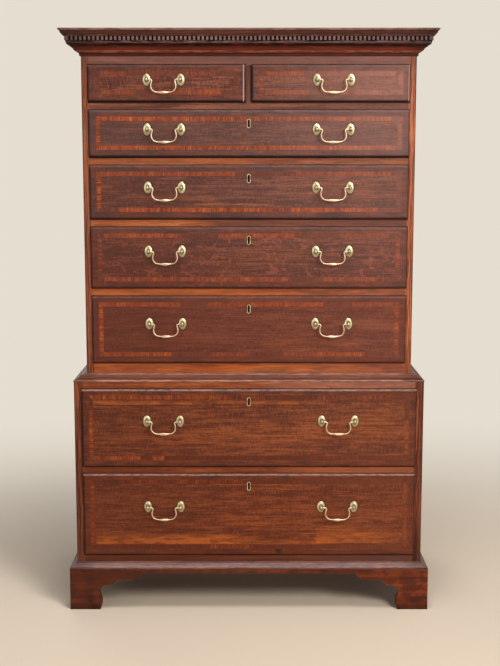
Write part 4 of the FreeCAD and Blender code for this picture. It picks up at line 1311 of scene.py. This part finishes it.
# %% [markdown]
# The band's own finish runs across it: threads a millimetre or two wide, from dull purple brown to the
# orange of a piece that has kept its colour. Both legs' directions share one function. It is duller
# towards its two edges, where glue and wax have darkened it, and each drawer's band gets the same
# painted sheen as its board, standing in for reflected light.

# %% The finish of the band
GLUE_STAIN = srgb(70, 38, 32)
DULL_STOPS = (0.3, 0.7)
BRIGHT_STOPS = (0.28, 0.5, 0.72)


def band_finish(name, axis, seed, case):
    wood = Finish(name)
    tone, glow, across, haze = (wood.attribute(key) for key in ("tone", "glow", "across", "haze"))
    threads = wood.noise(along(axis, 0.03, 0.0022), seed, 2)
    bands = wood.noise(along(axis, 0.03, 0.007), seed + 3, 1)
    wood.tone = threads * 0.66 + bands * 0.26 + tone * 0.08
    dull = wood.ramp(wood.tone, list(zip(DULL_STOPS, case.dull_band)))
    bright = wood.ramp(wood.tone, list(zip(BRIGHT_STOPS, case.bright_band)))
    drift = wood.noise((0.035, 0.05, 0.035), seed + 6, 2)
    kept = glow + (threads - 0.5) * 0.65 + (bands - 0.5) * 0.3 + (drift - 0.5) * 0.6
    kept = (kept * wood.step(glow, 0.0, 0.15)).most(0.0).least(1.0)
    side = abs(across - 0.5) + (wood.noise(0.006, seed + 12, 2) - 0.5) * 0.3
    wood.colour = wood.mix(kept * (1 - wood.step(side, 0.36, 0.52) * 0.75), dull, bright)
    # the same painted sheen as the board
    wood.lay(sheen_reach(wood) * (haze + 0.05), case.haze)
    by_height(wood, case)
    wood.lay(wood.step(wood.noise(0.02, seed + 9, 3), 0.5, 0.75) * 0.35, GLUE_STAIN)
    wood.relief = threads
    return wax(wood, depth=0.0001)


BANDS = {
    case: [
        band_finish("crossbanding_upright_grain", "Z", 211, case),
        band_finish("crossbanding_level_grain", "X", 223, case),
    ]
    for case in (UPPER, LOWER)
}
for drawer in drawers:
    look = LOOKS[drawer.name]
    shape = lay_bands(drawer, look)
    piece(drawer.name + "_crossbanding", shape, drawer.name, BANDS[look.case])

# %% [markdown]
# ## Brass
#
# Each handle hangs from two posts, turned and polished, that pass through an oval rose and the board to a
# square nut inside. Old brass isn't one colour: it is bright where hands and dusters reach and olive where
# they don't. Its holes are painted black as shade, and the lower half of each rose is painted darker as
# shade. All that is one number on each vertex, its patina and painted shade, which is written as the piece
# is made.

# %% Brass finish
OLIVE = srgb(92, 80, 46)
# the black of the holes is painted shade
BLACK_HOLE = srgb(16, 13, 10)


def brass_finish(name, dull, bright, dullness):
    """Cast brass, darker with patina and painted shade. At 1 it is a black hole, painted shade with no metal.
    """
    metal = Finish(name)
    grime = metal.attribute("grime")
    cloud = metal.noise(0.012, 5, 3)
    spots = metal.step(metal.noise(0.0022, 9, 2), 0.58, 0.7)
    hole = metal.step(grime, 0.9, 1.0)
    metal.colour = metal.ramp(cloud, [(0.35, srgb(*dull)), (0.65, srgb(*bright))])
    metal.lay((grime * 1.1 + spots * 0.15).least(1.0), OLIVE)
    metal.lay(hole, BLACK_HOLE)
    metal.feed(
        metal.shader,
        {
            "Base Color": metal.colour,
            "Metallic": (1 - grime * 0.25) * (1 - hole),
            "Roughness": cloud * 0.14 + dullness + grime * 0.35,
            "Specular IOR Level": 0.1,
            "Normal": metal.bump(metal.noise(0.004, 13, 2), 0.0002),
        },
    )
    return metal.material


BRASS = brass_finish("antique_brass", (196, 178, 130), (242, 228, 196), 0.27)
HANDLED_BRASS = brass_finish("handled_brass", (200, 174, 144), (230, 210, 182), 0.4)
print("brass:", BRASS.name, HANDLED_BRASS.name)

# %% [markdown]
# Turned work is made as on a lathe: half an outline, spun about the post's own line. The oval rose is
# turned round and then drawn out in height, as its caster's pattern was. Outlines are in millimetres,
# from the line outwards and from the drawer's face forward.

# %% Turning
BALL_RADIUS = 5 * MM
BALL_REACH = 13.5 * MM


def turned(profile, steps=32):
    """A bmesh spun from (radius, forward) points in millimetres about the line out of a drawer."""
    shape = bmesh.new()
    verts = [shape.verts.new((radius * MM, -forward * MM, 0)) for radius, forward in profile]
    edges = [shape.edges.new(pair) for pair in zip(verts, verts[1:])]
    bmesh.ops.spin(
        shape, geom=verts + edges, cent=(0, 0, 0), axis=(0, 1, 0), angle=math.tau, steps=steps, use_merge=True
    )
    bmesh.ops.remove_doubles(shape, verts=shape.verts, dist=MM / 1000)
    bmesh.ops.recalc_face_normals(shape, faces=shape.faces)
    return shape


def arc(radius, centre, start, end, steps):
    """Points of a turned outline round a bead: angles in degrees from the line that points outwards."""
    angles = [math.radians(start + (end - start) * i / steps) for i in range(steps + 1)]
    return [(radius * math.sin(a), centre + radius * math.cos(a)) for a in angles]


def stained(shape, how):
    """A turned mesh with its patina and painted shade, from a vertex's distance to the post's line, reach and
    height.
    """
    mark(shape, "grime", lambda v: how(math.hypot(v.co.x, v.co.z) / MM, -v.co.y / MM, v.co.z / MM))
    return to_mesh(shape, "turned")


# %% Roses and posts
def rose_mesh():
    """A round rose with a thin rim, a domed ring and a flat middle, drawn out to an oval."""
    rim, dome = 12.0, 10.6
    angles = [math.radians(8 + 6 * i) for i in range(9)]
    swell = [(dome * math.cos(a), 1.0 + 2.4 * math.sin(a)) for a in angles]
    profile = [(0, 0), (rim, 0), (rim, 0.55), (rim - 0.3, 0.95), (rim - 0.8, 1.0), (dome + 0.05, 0.85)]
    profile += swell + [(6.0, 2.95), (5.6, 2.5), (5.0, 2.3), (0, 2.3)]

    def grime(radius, forward, height):
        if radius < 6.3:
            return 0.6 if forward > 0.1 else 0.3
        # the lower half is painted darker, as shade from the light above
        below = 0.35 * min(1.0, max(0.0, (2 - height) / 8))
        return 0.5 if radius > dome - 0.1 and forward > 0.8 else 0.02 + below

    mesh = stained(turned(profile), grime)
    mesh.transform(Matrix.Diagonal((1, 1, ROSE_HEIGHT / ROSE_WIDTH, 1)))
    return mesh


def post_mesh(inside):
    """A post whose shank ends `inside` millimetres behind the drawer's face."""
    ball = BALL_RADIUS / MM
    reach = BALL_REACH / MM
    shank = [(0, -inside), (2.7, -inside), (3.0, -inside + 0.3), (3.0, 2.4)]
    collar = [(4.8, 2.4), (5.0, 2.7), (5.0, 4.0), (4.7, 4.6)]
    neck = [(3.6, 5.2), (3.0, 6.0), (2.8, 6.9), (3.1, 8.0), (3.9, 8.5), (4.0, 9.0), (3.4, 9.5)]
    profile = shank + collar + neck + arc(ball, reach, 140, 0, 14)
    profile[-1] = (0, reach + ball)

    def grime(radius, forward, height):
        if forward < 5:
            return 0.6
        return max(0.35, min(0.7, (13 - forward) / 6))

    return stained(turned(profile, 24), grime)


ROSE = rose_mesh()
print("rose faces:", len(ROSE.polygons))

# %% [markdown]
# The nuts, the rim of the keyhole and the lock are plain, crisp work, and the frame already holds them.
# They are taken from there: the copy is merged, the turned pieces are dropped from it, and a fine bevel
# takes the edge off.

# %% Brasses of a drawer
BRASS_ARRIS = 0.15 * MM


def shells(shape):
    """The separate closed skins of a bmesh, each as a list of vertices."""
    left = set(shape.verts)
    found = []
    while left:
        front = [left.pop()]
        shell = list(front)
        while front:
            near = [e.other_vert(v) for v in front for e in v.link_edges]
            front = [v for v in set(near) if v in left]
            left.difference_update(front)
            shell += front
        found.append(shell)
    return found


def brasses(drawer):
    """Roses and posts turned here, with the frame's own nuts, keyhole rim and lock."""
    node = frame["nodes"][drawer.name + "_brasses"]
    shape = bmesh.new()
    shape.from_mesh(node.data)
    bmesh.ops.remove_doubles(shape, verts=shape.verts, dist=MM / 1000)
    for shell in shells(shape):
        if min(v.co.y for v in shell) < drawer.face - MM / 2:
            bmesh.ops.delete(shape, geom=shell, context="VERTS")
    bmesh.ops.dissolve_limit(shape, angle_limit=math.radians(1), verts=shape.verts, edges=shape.edges)
    crisp = [e for e in shape.edges if len(e.link_faces) == 2 and e.calc_face_angle(0) > math.radians(40)]
    chamfer(shape, crisp, BRASS_ARRIS, clamp=True)
    shape.normal_update()

    # the keyhole's inside, the lock and the nuts get 1, painted black as shade; only the rim's outer front
    # stays metal
    def grime(vert):
        beyond = max(0.0, abs(drawer.high.z - KEYHOLE_DROP - vert.co.z) - KEYHOLE_SPREAD)
        outer = math.hypot(vert.co.x - drawer.middle.x, beyond) > KEYHOLE_EDGE
        return 0.0 if outer and vert.co.y < drawer.face + MM and vert.normal.y < -0.6 else 1.0

    mark(shape, "grime", grime)
    post = post_mesh((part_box(node.name)[1].y - drawer.face) / MM)
    for _, middle in drawer.handles:
        for side in (-1, 1):
            foot = Vector((middle.x + side * POST_SPACING / 2, drawer.face, middle.z))
            add_mesh(shape, ROSE, foot)
            add_mesh(shape, post, foot)
    piece(drawer.name + "_brass_set", shape, drawer.name, [BRASS], [node.name], 40)


for drawer in drawers:
    brasses(drawer)

# %% [markdown]
# ### Bails
#
# The bail is a swan-neck: from each post it runs inward, turns down through a tight bend, leans out
# again, rounds a corner and meets its other half in a swelled grip. Its line lies in one plane, so a walk
# along it, straight runs and arcs by turns, gives the places for a row of circles. Bridging each circle
# to the next makes the bar, and the circles' radii give it its swell.

# %% Walking the bail's line
class Walk:
    """Stations along a line in the plane of a drawer's front: place and heading of each."""

    def __init__(self, x, z, heading):
        self.stations = [(x, z, math.radians(heading))]

    def line(self, length, steps):
        for _ in range(steps):
            x, z, heading = self.stations[-1]
            run = length / steps
            self.stations.append((x + run * math.cos(heading), z + run * math.sin(heading), heading))

    def arc(self, radius, degrees, steps):
        """Turns left by that many degrees, or right when they are negative."""
        turn = math.radians(degrees) / steps
        chord = 2 * radius * math.sin(abs(turn) / 2)
        for _ in range(steps):
            x, z, heading = self.stations[-1]
            ahead = heading + turn / 2
            self.stations.append((x + chord * math.cos(ahead), z + chord * math.sin(ahead), heading + turn))


# %% The bail's line and its swell
PIN_SHORT = 1.5  # millimetres from here on: the pin ends this far inside the ball
PIN_RADIUS = 2.0
SIDE_GAP = 0.3
STUB = 6.5
NECK_BEND = 4.6
NECK_LEAN = 18.0  # degrees
SWAN_BEND = 34.0
CORNER_BEND = 18.0
GRIP_SLOPE = 8.0  # degrees
BAIL_DROP = 38.5
ARM_RADIUS = 2.35
ARM_TAPER = 0.4  # how much thinner the arm gets
TAPER_START, TAPER_LENGTH = 10, 25  # along the bar, from where it comes out of the ball
BEAD_RISE, BEAD_PLACE, BEAD_WIDTH = 0.5, 1.6, 1.1
GRIP_RADIUS = 4.7
GRIP_HALF = 18.0
GRIP_CURVE = 1.4  # above 1 the swell is drawn together to the middle
POST_HALF = POST_SPACING / MM / 2
PIN_END = POST_HALF + BALL_RADIUS / MM - PIN_SHORT
RING_START = POST_HALF - BALL_RADIUS / MM - SIDE_GAP  # where the bar comes out of the ball


def bail_line():
    """One half of the bail in millimetres, from inside a post's ball to the middle of the grip."""
    walk = Walk(PIN_END, 0, 180)
    walk.line(PIN_END - RING_START, 4)
    walk.line(STUB, 6)
    walk.arc(NECK_BEND, 90 + NECK_LEAN, 14)
    x, z, _ = walk.stations[-1]
    lean, slope = math.radians(NECK_LEAN), math.radians(GRIP_SLOPE)
    down = SWAN_BEND * math.sin(lean) + CORNER_BEND * math.cos(slope)
    out = SWAN_BEND * (1 - math.cos(lean)) - CORNER_BEND * (1 - math.sin(slope))
    rise = math.tan(slope / 2)
    run = (BAIL_DROP + z - down - (x + out) * rise) / (math.cos(lean) + math.sin(lean) * rise)
    walk.line(run, 3)
    walk.arc(SWAN_BEND, -NECK_LEAN, 5)
    walk.arc(CORNER_BEND, GRIP_SLOPE - 90, 12)
    walk.arc(walk.stations[-1][0] / math.sin(slope), -GRIP_SLOPE, 14)
    return walk.stations


def bar_radius(x, travelled):
    """The bar's radius in millimetres: a thin pin, a bead beside the post, slim arms, a swelled grip."""
    beside = travelled - (PIN_END - RING_START)
    if beside <= 0:
        return PIN_RADIUS
    grip = math.cos(min(1.0, x / GRIP_HALF) * math.pi / 2) ** GRIP_CURVE
    arm = ARM_RADIUS - ARM_TAPER * min(1.0, max(0.0, (beside - TAPER_START) / TAPER_LENGTH))
    bead = BEAD_RISE * math.exp(-(((beside - BEAD_PLACE) / BEAD_WIDTH) ** 2))
    return arm + bead + (GRIP_RADIUS - arm) * grip


# %% The bar
def bail_mesh():
    """The whole bail about its own turning line, with grime where it goes into the posts."""
    shape = bmesh.new()
    travelled = 0.0
    stations = []
    half = bail_line()
    for (x, z, heading), before in zip(half, half[:1] + half):
        travelled += math.dist(before[:2], (x, z))
        stations.append((x, z, heading, bar_radius(x, travelled)))
    stations += [(-x, z, -heading, radius) for x, z, heading, radius in reversed(stations[:-1])]
    rings = []
    for x, z, heading, radius in stations:
        turn = Matrix.Rotation(math.pi / 2 - heading, 4, "Y")
        place = Matrix.Translation((x * MM, 0, z * MM)) @ turn
        made = bmesh.ops.create_circle(shape, segments=14, radius=radius * MM, matrix=place)
        rings.append({e for v in made["verts"] for e in v.link_edges})
    for first, second in zip(rings, rings[1:]):
        bmesh.ops.bridge_loops(shape, edges=list(first | second))
    bmesh.ops.holes_fill(shape, edges=shape.edges, sides=0)
    bmesh.ops.recalc_face_normals(shape, faces=shape.faces)
    mark(shape, "grime", lambda vert: 0.5 if abs(vert.co.x) / MM > RING_START - 2 else 0.0)
    return to_mesh(shape, "bail")


BAIL = bail_mesh()
for drawer in drawers:
    for name, middle in drawer.handles:
        shape = bmesh.new()
        add_mesh(shape, BAIL, middle)
        piece(name + "_bar", shape, name, [HANDLED_BRASS], [name], 50)

# %% The view transform and the end
bpy.context.scene.view_settings.view_transform = "Standard"
